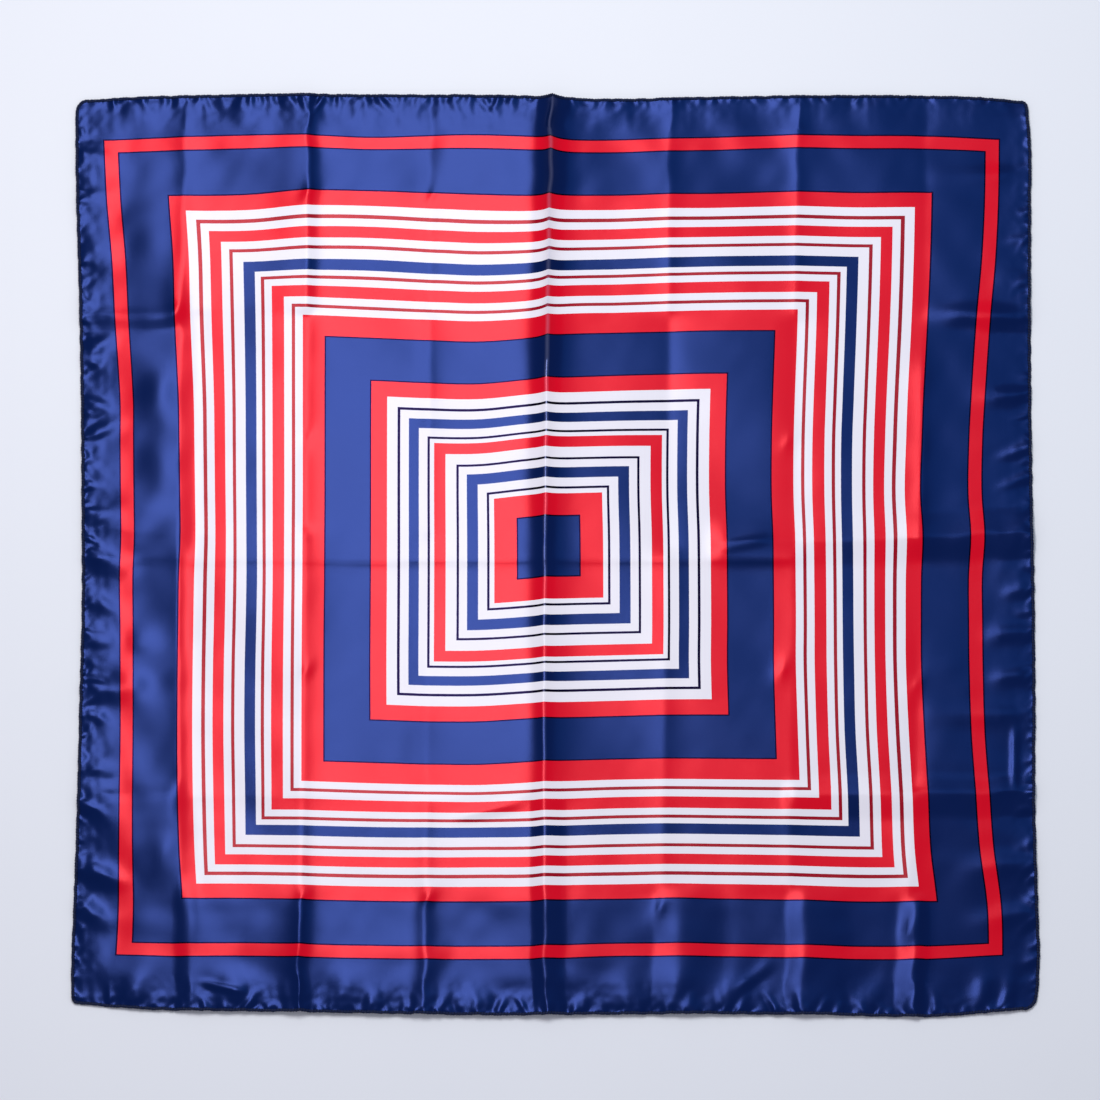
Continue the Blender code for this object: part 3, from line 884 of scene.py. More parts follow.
DRIFT_STATIONS = (-420, -350, -290, -235, -175, -110, -70, -25, 15, 60, 110, 150, 230, 290, 350, 420)
UP_DRIFTS = (
    # How far each level line has moved up, from its left end to its right.
    PrintDrift(
        -409, (12.0, 9.3, 9.6, 8.2, 7.0, 6.3, 6.3, 6.2, 7.4, 9.3, 9.4, 9.3, 7.9, 6.5, 6.9, 12.0)
    ),
    PrintDrift(
        -351, (7.0, 7.2, 7.3, 5.9, 4.7, 4.1, 4.0, 3.9, 5.4, 6.4, 7.5, 7.0, 5.6, 4.3, 4.9, 5.2)
    ),
    PrintDrift(
        -286, (5.5, 5.3, 5.0, 3.7, 2.5, 1.9, 2.0, 2.1, 3.4, 5.0, 5.8, 5.6, 4.6, 3.5, 3.0, 3.0)
    ),
    PrintDrift(
        -232, (3.0, 3.0, 2.8, 2.4, 0.8, -0.6, -1.4, 0.4, 2.2, 4.2, 5.2, 5.0, 4.2, 3.5, 3.0, 3.0)
    ),
    PrintDrift(
        -168, (0.0, 0.0, 0.0, -0.5, -1.4, -3.6, -3.8, -1.2, 0.4, 2.0, 3.3, 3.4, 3.2, 3.0, 3.0, 3.0)
    ),
    PrintDrift(
        -77, (0.0, 0.0, 0.0, -1.0, -2.5, -4.6, -4.7, -2.3, 0.2, 1.5, 2.5, 3.0, 3.0, 3.0, 3.0, 3.0)
    ),
    PrintDrift(
        77, (0.0, 0.0, 0.0, -1.0, -2.5, -4.8, -4.8, -0.2, 1.4, 2.9, 3.6, 4.0, 4.0, 3.5, 3.0, 3.0)
    ),
    PrintDrift(
        168, (0.0, 0.0, -1.0, -2.0, -3.3, -6.2, -6.8, -2.9, -0.3, 1.8, 3.6, 4.3, 4.0, 3.5, 3.0, 3.0)
    ),
    PrintDrift(
        232, (-1.0, -1.0, -2.0, -2.6, -4.8, -7.1, -8.5, -6.5, -1.8, -0.2, 1.6, 2.7, 3.4, 3.0, 2.5, 2.0)
    ),
    PrintDrift(
        286, (-3.0, -3.5, -4.1, -1.5, -1.5, -4.6, -6.5, -5.6, -3.0, -1.4, 0.5, 1.6, 2.9, 2.0, 1.5, 1.0)
    ),
    PrintDrift(
        351, (-2.5, -1.9, -1.0, 3.1, 2.7, 0.5, -1.2, -2.8, -2.8, -2.3, -0.4, 0.2, 2.7, 1.3, 1.6, 0.0)
    ),
    PrintDrift(
        409, (-4.6, -1.2, -0.1, 0.1, -2.2, -0.3, -0.2, -2.1, -5.6, -5.2, -3.2, -2.0, 0.7, 0.0, -0.2, -3.7)
    ),
)
SIDEWAYS_DRIFTS = (
    # How far each upright line has moved right, from its lower end to its upper.
    PrintDrift(
        -409, (2.5, 5.6, 6.1, 6.5, 7.0, 6.3, 5.8, 4.8, 5.8, 5.1, 4.4, 4.1, -1.6, -5.1, -10.4, -14.0)
    ),
    PrintDrift(
        -351, (8.0, 8.1, 4.3, 2.4, 1.6, 1.6, 1.8, 2.1, 3.5, 2.8, 1.8, 0.9, -3.3, -5.2, -9.3, -12.0)
    ),
    PrintDrift(
        -286, (3.0, 3.0, 2.4, 1.6, 0.5, 0.6, 1.3, 1.8, 1.5, 0.9, 0.4, 0.0, -1.4, -2.8, -4.0, -5.0)
    ),
    PrintDrift(
        -232, (0.0, 0.0, 0.0, 0.0, -0.2, -0.3, -0.2, 0.0, 0.0, 0.1, -0.1, -0.3, -0.6, -1.0, -1.0, -1.0)
    ),
    PrintDrift(
        232, (3.5, 3.5, 3.5, 3.4, 1.7, 0.1, 0.4, 0.3, 0.0, -1.4, -1.0, 0.2, 3.2, 4.0, 5.0, 5.0)
    ),
    PrintDrift(
        286, (6.0, 6.0, 5.1, 4.2, 1.5, 0.5, 0.2, 0.2, 0.0, -0.5, 0.0, 1.5, 4.6, 6.4, 7.5, 8.0)
    ),
    PrintDrift(
        351, (13.0, 12.6, 7.0, 5.0, 2.0, -0.4, -0.3, 0.2, 1.7, -0.3, 1.5, 3.1, 7.5, 10.0, 11.5, 12.5)
    ),
    PrintDrift(
        409, (15.5, 15.0, 8.1, 4.5, 0.6, -0.6, -0.7, -0.7, 1.9, -0.4, 0.6, 3.0, 8.8, 14.3, 17.5, 18.8)
    ),
)


@dataclass(frozen=True)
class PrintLayout:
    """Where the print lies on the cloth."""

    centre_x: float = -4.8
    centre_y: float = 4.2

    def drift(self, rows: tuple[PrintDrift, ...], along: Array, across: Array) -> Array:
        """Reads a drift table.

        Args:
            rows: The table, one row for each printed line.
            along: Places along the lines.
            across: Places across them, from the print's middle.

        Returns:
            The drift at each place.
        """
        stations = np.array(DRIFT_STATIONS, dtype=float)
        lines = np.stack([smooth_curve(stations, np.array(row.drifts), along) for row in rows])
        return smooth_curve(np.array([row.place for row in rows], dtype=float), lines, across)

    def coordinates(self, x: Array, y: Array) -> tuple[Array, Array]:
        """The cloth's own flat coordinates, from the print's middle.

        Args:
            x: Places in plan, from left to right.
            y: Places in plan, from bottom to top.

        Returns:
            The coordinates across and up the cloth at each place.
        """
        across, up = x - self.centre_x, y - self.centre_y
        sideways = self.drift(SIDEWAYS_DRIFTS, y, across)
        upwards = self.drift(UP_DRIFTS, x, up)
        return across - sideways, up - upwards


# --- Materials ----------------------------------------------------------------------------------


class Nodes:
    """Builds a node tree by short calls, laid out from left to right."""

    def __init__(self, tree: bpy.types.NodeTree) -> None:
        """Keeps the tree to build in and starts at its left."""
        self.tree = tree
        self.place = 0.0

    def add(self, kind: str, inputs: Optional[dict] = None, **settings: object) -> bpy.types.Node:
        """Adds a node.

        Args:
            kind: The node's type name.
            inputs: Sockets to link or values to set, by input name or index.
            settings: Attributes of the node.

        Returns:
            The new node.
        """
        node = self.tree.nodes.new(kind)
        node.location = (self.place, 0.0)
        self.place += 180.0
        for name, value in settings.items():
            setattr(node, name, value)
        for name, value in (inputs or {}).items():
            if isinstance(value, bpy.types.NodeSocket):
                self.tree.links.new(value, node.inputs[name])
            else:
                node.inputs[name].default_value = value
        return node

    def math(self, operation: str, first: object, second: object = 0.0, third: object = 0.0) -> Socket:
        """Adds a Math node and returns its value."""
        inputs = {0: first, 1: second, 2: third}
        return self.add("ShaderNodeMath", inputs, operation=operation).outputs[0]

    def vector(self, operation: str, first: object, second: object) -> Socket:
        """Adds a Vector Math node and returns its vector."""
        inputs = {0: first, 1: second}
        return self.add("ShaderNodeVectorMath", inputs, operation=operation).outputs[0]

    def scaled(self, vector: Socket, scale: object) -> Socket:
        """Scales a vector by a number or a socket and returns it."""
        inputs = {0: vector, "Scale": scale}
        return self.add("ShaderNodeVectorMath", inputs, operation="SCALE").outputs[0]

    def noise(self, place: Socket, scale: float, detail: float) -> bpy.types.Node:
        """Adds a Noise Texture node, read at a place, and returns it."""
        return self.add("ShaderNodeTexNoise", {"Vector": place, "Scale": scale, "Detail": detail})

    def mix(self, share: object, first: object, second: object) -> Socket:
        """Mixes two colours.

        Args:
            share: How much of the second shows, as a number or a socket.
            first: The first colour.
            second: The second colour.

        Returns:
            The mixed colour.
        """
        node = self.add("ShaderNodeMix", data_type="RGBA")
        for index, value in ((0, share), (6, first), (7, second)):
            if isinstance(value, bpy.types.NodeSocket):
                self.tree.links.new(value, node.inputs[index])
            else:
                node.inputs[index].default_value = value if index == 0 else (*value, 1.0)
        return node.outputs[2]


GroupStart = tuple[bpy.types.NodeTree, Nodes, bpy.types.Node, bpy.types.Node]


def shader_group(name: str, inputs: dict[str, object], outputs: dict[str, str]) -> GroupStart:
    """Starts a shader node group.

    Args:
        name: The group's name.
        inputs: Default values by socket name; None makes a vector socket.
        outputs: Socket types by socket name.

    Returns:
        The group, its builder, its input node and its output node.
    """
    group = bpy.data.node_groups.new(name, "ShaderNodeTree")
    for socket, default in inputs.items():
        kind = "NodeSocketVector" if default is None else "NodeSocketFloat"
        made = group.interface.new_socket(name=socket, in_out="INPUT", socket_type=kind)
        if default is not None:
            made.default_value = default
    for socket, kind in outputs.items():
        group.interface.new_socket(name=socket, in_out="OUTPUT", socket_type=kind)
    nodes = Nodes(group)
    return group, nodes, nodes.add("NodeGroupInput"), nodes.add("NodeGroupOutput")


def stripe_ramp(nodes: Nodes, place: Socket, low: float, high: float) -> Socket:
    """A ramp of hard stripes from one half-side to another, read at a half-side.

    Args:
        nodes: The tree's builder.
        place: The half-side of the square through each point, in millimetres.
        low: The half-side at the ramp's start.
        high: The half-side at its end.

    Returns:
        The ramp's colour, whose channels mark the inks.
    """
    share = nodes.add("ShaderNodeMapRange", {"Value": place, "From Min": low, "From Max": high})
    ramp = nodes.add("ShaderNodeValToRGB", {"Fac": share.outputs[0]})
    ramp.color_ramp.interpolation = "CONSTANT"
    edges: list[tuple[float, Ink]] = []
    for outside, stripe in zip(STRIPES, STRIPES[1:]):
        if {outside.ink, stripe.ink} == {Ink.RED, Ink.NAVY}:
            edges.append((stripe.outer - OVERLAP_WIDTH / 2, Ink.OVERLAP))
            edges.append((stripe.outer + OVERLAP_WIDTH / 2, outside.ink))
        else:
            edges.append((stripe.outer, outside.ink))
    edges.append((-1.0, STRIPES[-1].ink))
    edges.sort(key=lambda edge: edge[0])
    below = [edge for edge in edges if edge[0] <= low]
    inside = [edge for edge in edges if low < edge[0] < high]
    stops = ramp.color_ramp.elements
    stops.remove(stops[1])
    stops[0].position, stops[0].color = 0.0, (*below[-1][1].value, 1.0)
    for edge, ink in inside:
        stop = stops.new((edge - low) / (high - low))
        stop.color = (*ink.value, 1.0)
    return ramp.outputs["Color"]


def nested_stripes_group() -> bpy.types.NodeTree:
    """The print: where its inks lie over the cloth's coordinates, in millimetres.

    Returns:
        The group, which puts out masks for the red, white and overlapping inks. Bleed is how far
        an ink's edge strays.
    """
    sockets = {name: "NodeSocketFloat" for name in ("Red", "White", "Overlap")}
    group, nodes, start, end = shader_group("nested_stripes", {"Cloth": None, "Bleed": 0.25}, sockets)
    cloth = start.outputs["Cloth"]
    noise = nodes.noise(cloth, scale=0.35, detail=2.0)
    centred = nodes.vector("SUBTRACT", noise.outputs["Color"], (0.5, 0.5, 0.5))
    moved = nodes.vector("ADD", cloth, nodes.scaled(centred, start.outputs["Bleed"]))
    size = nodes.add("ShaderNodeVectorMath", {0: moved}, operation="ABSOLUTE")
    parts = nodes.add("ShaderNodeSeparateXYZ", {0: size.outputs[0]})
    place = nodes.math("MAXIMUM", parts.outputs[0], parts.outputs[1])
    chosen = stripe_ramp(nodes, place, RAMP_SPLITS[0], RAMP_SPLITS[1])
    for low, high in zip(RAMP_SPLITS[1:], RAMP_SPLITS[2:]):
        beyond = nodes.math("GREATER_THAN", place, low)
        chosen = nodes.mix(beyond, chosen, stripe_ramp(nodes, place, low, high))
    masks = nodes.add("ShaderNodeSeparateColor", {0: chosen})
    for index, name in enumerate(sockets):
        group.links.new(masks.outputs[index], end.inputs[name])
    return group


def satin_weave_group() -> bpy.types.NodeTree:
    """Satin weave over the cloth's coordinates, in millimetres.

    Returns:
        The group, which puts out the height of the weave's floats and the slubs along them.
    """
    inputs = {"Cloth": None, "Pitch": 0.32, "Float Length": 1.6}
    outputs = {"Height": "NodeSocketFloat", "Slub": "NodeSocketFloat"}
    rib_height, bite_height, bite_lean = 0.3, 0.2, 0.4
    slub_stretch = (0.9, 0.03, 1.0)
    group, nodes, start, end = shader_group("satin_weave", inputs, outputs)
    parts = nodes.add("ShaderNodeSeparateXYZ", {0: start.outputs["Cloth"]})
    turns_across = nodes.math("DIVIDE", parts.outputs[0], start.outputs["Pitch"])
    ribs = nodes.math("SINE", nodes.math("MULTIPLY", turns_across, math.tau))
    turns_along = nodes.math("DIVIDE", parts.outputs[1], start.outputs["Float Length"])
    shifted = nodes.math("ADD", turns_along, nodes.math("MULTIPLY", turns_across, bite_lean))
    bites = nodes.math("SINE", nodes.math("MULTIPLY", shifted, math.tau))
    rib_part = nodes.math("MULTIPLY", ribs, rib_height)
    height = nodes.math("ADD", rib_part, nodes.math("MULTIPLY", bites, bite_height))
    stretched = nodes.vector("MULTIPLY", start.outputs["Cloth"], slub_stretch)
    slub = nodes.noise(stretched, scale=1.0, detail=3.0)
    group.links.new(nodes.math("ADD", height, 0.5), end.inputs["Height"])
    group.links.new(slub.outputs["Fac"], end.inputs["Slub"])
    return group


def new_material(name: str) -> tuple[bpy.types.Material, Nodes, bpy.types.Node]:
    """Starts a material.

    Args:
        name: The material's name.

    Returns:
        The material, its builder and its Principled shader.
    """
    material = bpy.data.materials.new(name)
    material.use_nodes = True
    nodes = Nodes(material.node_tree)
    return material, nodes, material.node_tree.nodes["Principled BSDF"]


def set_sockets(shader: bpy.types.Node, values: dict[str, object]) -> None:
    """Sets plain values, by input name, on a shader's own sockets."""
    for name, value in values.items():
        shader.inputs[name].default_value = value


@dataclass(frozen=True)
class PrintedSatin:
    """Finish of the printed cloth: its inks, and how it shines."""

    navy: Colour = (0.0009, 0.0103, 0.0780)
    red: Colour = (0.690, 0.001, 0.016)
    white: Colour = (0.815, 0.764, 0.838)
    overlap: Colour = (0.0025, 0.0015, 0.010)
    # Paler tint along the sharpest crest: partly rubbed ink, partly a painted highlight.
    wear_and_highlight: Colour = (0.420, 0.450, 0.720)
    navy_metallic: float = 0.37
    red_metallic: float = 0.07
    white_metallic: float = 0.01
    specular: float = 0.098
    roughness: float = 0.225
    weave_depth: float = 0.008 * MM
    weave_strength: float = 0.5
    wear_and_highlight_share: float = 0.14  # how pale the ink is along the sharpest crest, where it is rubbed and where a highlight is painted
    cloud_scale: float = 0.012
    cloud_tone: float = 0.10  # how unevenly the inks have taken, in broad clouds
    slub_tone: float = 0.03
    slub_gloss: float = 0.02
    even_tone: float = 0.935
    fade: float = 0.0  # how far the inks are mixed with the cloth's own white, as on its back

    def material(
        self, name: str, stripes: bpy.types.NodeTree, weave: bpy.types.NodeTree
    ) -> bpy.types.Material:
        """Makes the material.

        Args:
            name: The material's name.
            stripes: The group that gives the print's masks.
            weave: The group that gives the weave.

        Returns:
            The finished material.
        """
        material, nodes, shader = new_material(name)
        uv = nodes.add("ShaderNodeUVMap", uv_map=ClothPanel.uv_name)
        cloth = nodes.scaled(nodes.vector("SUBTRACT", uv.outputs[0], (0.5, 0.5, 0.0)), 1.0 / MM)
        inks = nodes.add("ShaderNodeGroup", node_tree=stripes)
        threads = nodes.add("ShaderNodeGroup", node_tree=weave)
        material.node_tree.links.new(cloth, inks.inputs["Cloth"])
        material.node_tree.links.new(cloth, threads.inputs["Cloth"])
        colour = nodes.mix(inks.outputs["Red"], self.navy, self.red)
        colour = nodes.mix(inks.outputs["White"], colour, self.white)
        colour = nodes.mix(inks.outputs["Overlap"], colour, self.overlap)
        # The sharpest crest turns paler: partly rubbed ink, partly a painted highlight.
        wear_and_highlight_mask = nodes.add(
            "ShaderNodeAttribute", attribute_name=ClothPanel.wear_and_highlight_name, attribute_type="GEOMETRY"
        )
        wear_and_highlight = nodes.math("MULTIPLY", wear_and_highlight_mask.outputs["Fac"], self.wear_and_highlight_share)
        colour = nodes.mix(wear_and_highlight, colour, self.wear_and_highlight)
        if self.fade:
            colour = nodes.mix(self.fade, colour, self.white)
        slub = threads.outputs["Slub"]
        cloud = nodes.noise(cloth, self.cloud_scale, detail=3.0)
        tone = nodes.math("MULTIPLY_ADD", cloud.outputs["Fac"], self.cloud_tone, self.even_tone)
        tone = nodes.math("MULTIPLY_ADD", slub, self.slub_tone, tone)
        even_gloss = self.roughness - self.slub_gloss / 2
        gloss = nodes.math("MULTIPLY_ADD", slub, self.slub_gloss, even_gloss)
        weave_inputs = {
            "Height": threads.outputs["Height"],
            "Distance": self.weave_depth,
            "Strength": self.weave_strength,
        }
        bump = nodes.add("ShaderNodeBump", weave_inputs)
        links = material.node_tree.links
        links.new(nodes.scaled(colour, tone), shader.inputs["Base Color"])
        links.new(gloss, shader.inputs["Roughness"])
        links.new(bump.outputs[0], shader.inputs["Normal"])
        links.new(self.metallic(nodes, inks), shader.inputs["Metallic"])
        set_sockets(shader, {"Specular IOR Level": self.specular})
        return material

    def metallic(self, nodes: Nodes, inks: bpy.types.Node) -> Socket:
        """How metallic each ink looks, which gives satin its coloured shine.

        Args:
            nodes: The material's builder.
            inks: The node that gives the print's masks.

        Returns:
            The metallic value. The dark overlap is full metal, but its mix with red isn't.
        """
        red_step = self.red_metallic - self.navy_metallic
        white_step = self.white_metallic - self.navy_metallic
        metal = nodes.math("MULTIPLY_ADD", inks.outputs["Red"], red_step, self.navy_metallic)
        metal = nodes.math("MULTIPLY_ADD", inks.outputs["White"], white_step, metal)
        return nodes.math("MAXIMUM", nodes.math("POWER", inks.outputs["Overlap"], 4.0), metal)


@dataclass(frozen=True)
class ThreadFinish:
    """Finish of sewing thread and of the hem that it binds."""

    colour: Colour
    dip: Colour  # painted shade between the turns of the thread, broken up by the fuzz
    roughness: float
    specular: float = 0.15
    twist_pitch: float = 0.7  # millimetres along the thread for one turn of its twist
    twist_depth: float = 0.08 * MM
    twist_strength: float = 0.6
    fuzz_scale: float = 0.35
    fuzz_gloss: float = 0.15
    smooth_gloss: float = -0.07  # how much glossier it is where it has no fuzz

    def material(self, name: str) -> bpy.types.Material:
        """Makes the material, with a fine slanting twist over the piece's own coordinates and painted
        shade between its turns.

        Args:
            name: The material's name.

        Returns:
            The finished material.
        """
        material, nodes, shader = new_material(name)
        place = nodes.add("ShaderNodeTexCoord").outputs["Object"]
        thread = nodes.scaled(place, 1.0 / (self.twist_pitch * MM))
        twist = nodes.add(
            "ShaderNodeTexWave",
            {"Vector": thread, "Scale": 1.0, "Distortion": 0.6, "Detail": 1.0},
            wave_type="BANDS",
            bands_direction="DIAGONAL",
        ).outputs["Fac"]
        fuzz = nodes.noise(thread, self.fuzz_scale, detail=3.0).outputs["Fac"]
        # Painted shade: darker between the turns of the twist, broken up by the fuzz.
        colour = nodes.mix(nodes.math("MULTIPLY", twist, fuzz), self.dip, self.colour)
        gloss = nodes.math("MULTIPLY_ADD", fuzz, self.fuzz_gloss, self.roughness + self.smooth_gloss)
        bump_inputs = {"Height": twist, "Distance": self.twist_depth, "Strength": self.twist_strength}
        bump = nodes.add("ShaderNodeBump", bump_inputs)
        links = material.node_tree.links
        links.new(colour, shader.inputs["Base Color"])
        links.new(gloss, shader.inputs["Roughness"])
        links.new(bump.outputs[0], shader.inputs["Normal"])
        set_sockets(shader, {"Specular IOR Level": self.specular})
        return material


@dataclass(frozen=True)
class SurfaceFinish:
    """Finish of the pale surface under the cloth."""

    colour: Colour = (0.797, 0.791, 0.843)
    dip: Colour = (0.770, 0.768, 0.825)
    roughness: float = 0.6
    cloud_scale: float = 3.0

    def material(self, name: str) -> bpy.types.Material:
        """Makes the material, with faint clouds.

        Args:
            name: The material's name.

        Returns:
            The finished material.
        """
        material, nodes, shader = new_material(name)
        place = nodes.add("ShaderNodeTexCoord").outputs["Object"]
        cloud = nodes.noise(place, self.cloud_scale, detail=4.0)
        colour = nodes.mix(cloud.outputs["Fac"], self.dip, self.colour)
        material.node_tree.links.new(colour, shader.inputs["Base Color"])
        set_sockets(shader, {"Roughness": self.roughness})
        return material


# --- Pieces -------------------------------------------------------------------------------------

SHARP_ANGLE = math.radians(70.0)  # edges that turn by more than this are shaded sharp


def new_object(name: str, mesh: bpy.types.Mesh) -> bpy.types.Object:
    """Makes an object for a mesh, at the origin.

    Args:
        name: The object's name.
        mesh: Its mesh.

    Returns:
        The object, linked into the scene.
    """
    piece = bpy.data.objects.new(name, mesh)
    bpy.context.scene.collection.objects.link(piece)
    return piece


def lowest_near(heights: Array, reach: int) -> Array:
    """The lowest height round each grid point, so that a coarser sheet stays under it.

    Args:
        heights: A height at each grid point.
        reach: How many steps away still counts.

    Returns:
        The lowest height within that many steps.
    """
    window = 2 * reach + 1
    for axis in (0, 1):
        width = [(reach, reach) if side == axis else (0, 0) for side in (0, 1)]
        padded = np.pad(heights, width, mode="edge")
        views = np.lib.stride_tricks.sliding_window_view(padded, window, axis=axis)
        heights = views.min(axis=-1)
    return heights


@dataclass
class ClothPanel:
    """The printed square: a thin closed shell on a grid whose lines run along the folds.

    The grid is fine in a frame along the hems, where the cloth puckers, and one third as fine
    inside it. The lower sheet is coarser still.
    """

    lie: Lie
    layout: PrintLayout
    frame_cells: int = 18
    frame_width: float = 32.0
    first_cells: int = 45  # from the frame to the first fold
    fold_cells: int = 84  # between neighbouring folds
    last_cells: int = 51  # from the last fold to the frame
    crowding: float = 0.35  # how much closer the grid is at the folds
    rounds: int = 4  # the upright and the level grid lines are fitted to each other this often
    inner_stride: int = 3
    under_stride: int = 6
    edge_inset: float = 1.2
    over: float = 0.85  # upper face over the relief
    thickness: float = 0.5
    wear_and_highlight_width: float = 0.9
    uv_name = "cloth"
    wear_and_highlight_name = "crest_wear_and_highlight"

    def stations(self) -> tuple[Array, Array]:
        """Shares the grid lines out between the edges, the frame's inner lines and the folds.

        Returns:
            For each grid line, the number of the interval it stands in and its share of it.
        """
        folds = [self.fold_cells] * 6
        counts = [self.frame_cells, self.first_cells, *folds, self.last_cells, self.frame_cells]
        interval = np.repeat(np.arange(len(counts)), counts)
        share = np.concatenate([np.arange(count) / count for count in counts])
        folded = (interval > 0) & (interval < len(counts) - 1)
        eased = share - self.crowding * np.sin(math.tau * share) / math.tau
        share = np.where(folded, eased, share)
        return np.append(interval, len(counts) - 1), np.append(share, 1.0)

    def anchors(self, upright: bool, along: Array) -> Array:
        """Places of the two edges, the frame's inner lines and the seven folds between them.

        Args:
            upright: Whether they are the upright lines or the level ones.
            along: Where along the lines, in millimetres.

        Returns:
            A row of places for each line, from the left or the bottom.
        """
        low, high = (Side.LEFT, Side.RIGHT) if upright else (Side.BOTTOM, Side.TOP)
        name = "column" if upright else "row"
        lines = [self.lie.fold_place(f"{name}_{number}", along) for number in range(1, 8)]
        first = self.edge_inset - HALF - self.lie.edge_offset(low, along)
        last = HALF + self.lie.edge_offset(high, along) - self.edge_inset
        return np.stack([first, first + self.frame_width, *lines, last - self.frame_width, last])

    def plan(self) -> tuple[Array, Array]:
        """Lays the grid out in plan, with its lines along the edges and the folds.

        Returns:
            The points' x and y, with a row for each level line.
        """
        interval, share = self.stations()
        nominal = (np.arange(len(share)) / (len(share) - 1) - 0.5) * SIDE
        y, x = np.meshgrid(nominal, nominal, indexing="ij")
        column = np.broadcast_to(interval[None, :], x.shape)
        row = np.broadcast_to(interval[:, None], x.shape)
        for _ in range(self.rounds):
            lines = self.anchors(True, y)
            low = np.take_along_axis(lines, column[None], 0)[0]
            high = np.take_along_axis(lines, column[None] + 1, 0)[0]
            x = low + (high - low) * share[None, :]
            lines = self.anchors(False, x)
            low = np.take_along_axis(lines, row[None], 0)[0]
            high = np.take_along_axis(lines, row[None] + 1, 0)[0]
            y = low + (high - low) * share[:, None]
        return self.rounded(x, y)

    def rounded(self, x: Array, y: Array) -> tuple[Array, Array]:
        """Draws the grid's square corners in to arcs.

        Args:
            x: The points' places across.
            y: The points' places up.

        Returns:
            The places with those beyond a corner's centre drawn in.
        """
        for corner in CORNERS.values():
            centre_x, centre_y = self.lie.corner_centre(corner)
            out_x, out_y = corner.x_sign * (x - centre_x), corner.y_sign * (y - centre_y)
            beyond = (out_x > 0) & (out_y > 0)
            shrink = np.ones_like(x)
            shrink[beyond] = np.maximum(out_x, out_y)[beyond] / np.hypot(out_x, out_y)[beyond]
            x = np.where(beyond, centre_x + (x - centre_x) * shrink, x)
            y = np.where(beyond, centre_y + (y - centre_y) * shrink, y)
        return x, y

    def upper_faces(self, grid: Array) -> list[list[int]]:
        """Faces of the upper sheet: fine ones in the frame, and coarse ones inside it.

        Args:
            grid: The number of each grid point.

        Returns:
            The faces. A coarse face that touches the frame takes in the frame's points.
        """
        edge, stride = self.frame_cells, self.inner_stride
        size = len(grid) - 1
        fine = np.stack([grid[:-1, :-1], grid[:-1, 1:], grid[1:, 1:], grid[1:, :-1]], -1)
        inside = np.zeros((size, size), dtype=bool)
        inside[edge : size - edge, edge : size - edge] = True
        faces = fine[~inside].tolist()
        first, last = edge, size - edge
        for row in range(first, last, stride):
            for column in range(first, last, stride):
                far_row, far_column = row + stride, column + stride
                low = range(column, far_column, 1 if row == first else stride)
                right = range(row, far_row, 1 if far_column == last else stride)
                high = range(far_column, column, -1 if far_row == last else -stride)
                left = range(far_row, row, -1 if column == first else -stride)
                faces.append(
                    [int(grid[row, place]) for place in low]
                    + [int(grid[place, far_column]) for place in right]
                    + [int(grid[far_row, place]) for place in high]
                    + [int(grid[place, column]) for place in left]
                )
        return faces

    def lower_faces(self, fine: Array, low: Array) -> list[list[int]]:
        """Faces of the lower sheet and of the rim that closes it to the upper one.

        Args:
            fine: The number of each point of the upper sheet's grid.
            low: The number of each point of the lower sheet's coarser grid.

        Returns:
            The faces. One of the rim takes in all the upper sheet's points along it.
        """
        stride = self.under_stride
        squares = np.stack([low[:-1, :-1], low[1:, :-1], low[1:, 1:], low[:-1, 1:]], -1)
        faces = squares.reshape(-1, 4).tolist()
        rings = (
            (fine[0, :], low[0, :]),
            (fine[:, -1], low[:, -1]),
            (fine[-1, ::-1], low[-1, ::-1]),
            (fine[::-1, 0], low[::-1, 0]),
        )
        for above, below in rings:
            for step in range(len(below) - 1):
                top = above[step * stride : (step + 1) * stride + 1]
                faces.append([int(below[step]), int(below[step + 1]), *map(int, top[::-1])])
        return faces

    def shell(self) -> tuple[Array, list[list[int]], list[list[int]]]:
        """Lays the two sheets out: the upper one, and the coarser one that stays under it.

        Returns:
            The points of both, the upper sheet's faces, and those of the lower sheet and the rim.
        """
        x, y = self.plan()
        size, stride, edge = len(x), self.inner_stride, self.frame_cells
        top = self.lie.height(x, y) + self.over
        used = np.ones((size, size), dtype=bool)
        used[edge + 1 : size - edge - 1, edge + 1 : size - edge - 1] = False
        used[edge::stride, edge::stride] = True
        grid = np.full((size, size), -1)
        grid[used] = np.arange(used.sum())
        coarse = np.s_[:: self.under_stride, :: self.under_stride]
        low = lowest_near(top, self.under_stride)[coarse] - self.thickness
        under = used.sum() + np.arange(low.size).reshape(low.shape)
        upper_points = np.stack([x[used], y[used], top[used]], 1)
        lower_points = np.stack([x[coarse].ravel(), y[coarse].ravel(), low.ravel()], 1)
        points = np.concatenate([upper_points, lower_points])
        return points, self.upper_faces(grid), self.lower_faces(grid, under)

    def build(self) -> bpy.types.Object:
        """Builds the shell, with its cloth coordinates and with its crest mask for wear and painted
        highlight.

        Returns:
            The piece, whose second material is for its back.
        """
        points, upper, lower = self.shell()
        x, y = points[:, 0], points[:, 1]
        mesh = bpy.data.meshes.new("cloth")
        mesh.from_pydata((points * MM).tolist(), [], upper + lower)
        u, v = self.layout.coordinates(x, y)
        corners = np.empty(len(mesh.loops), dtype=np.int32)
        mesh.loops.foreach_get("vertex_index", corners)
        uv = mesh.uv_layers.new(name=self.uv_name)
        uv.data.foreach_set("uv", np.stack([u * MM + 0.5, v * MM + 0.5], 1)[corners].ravel())
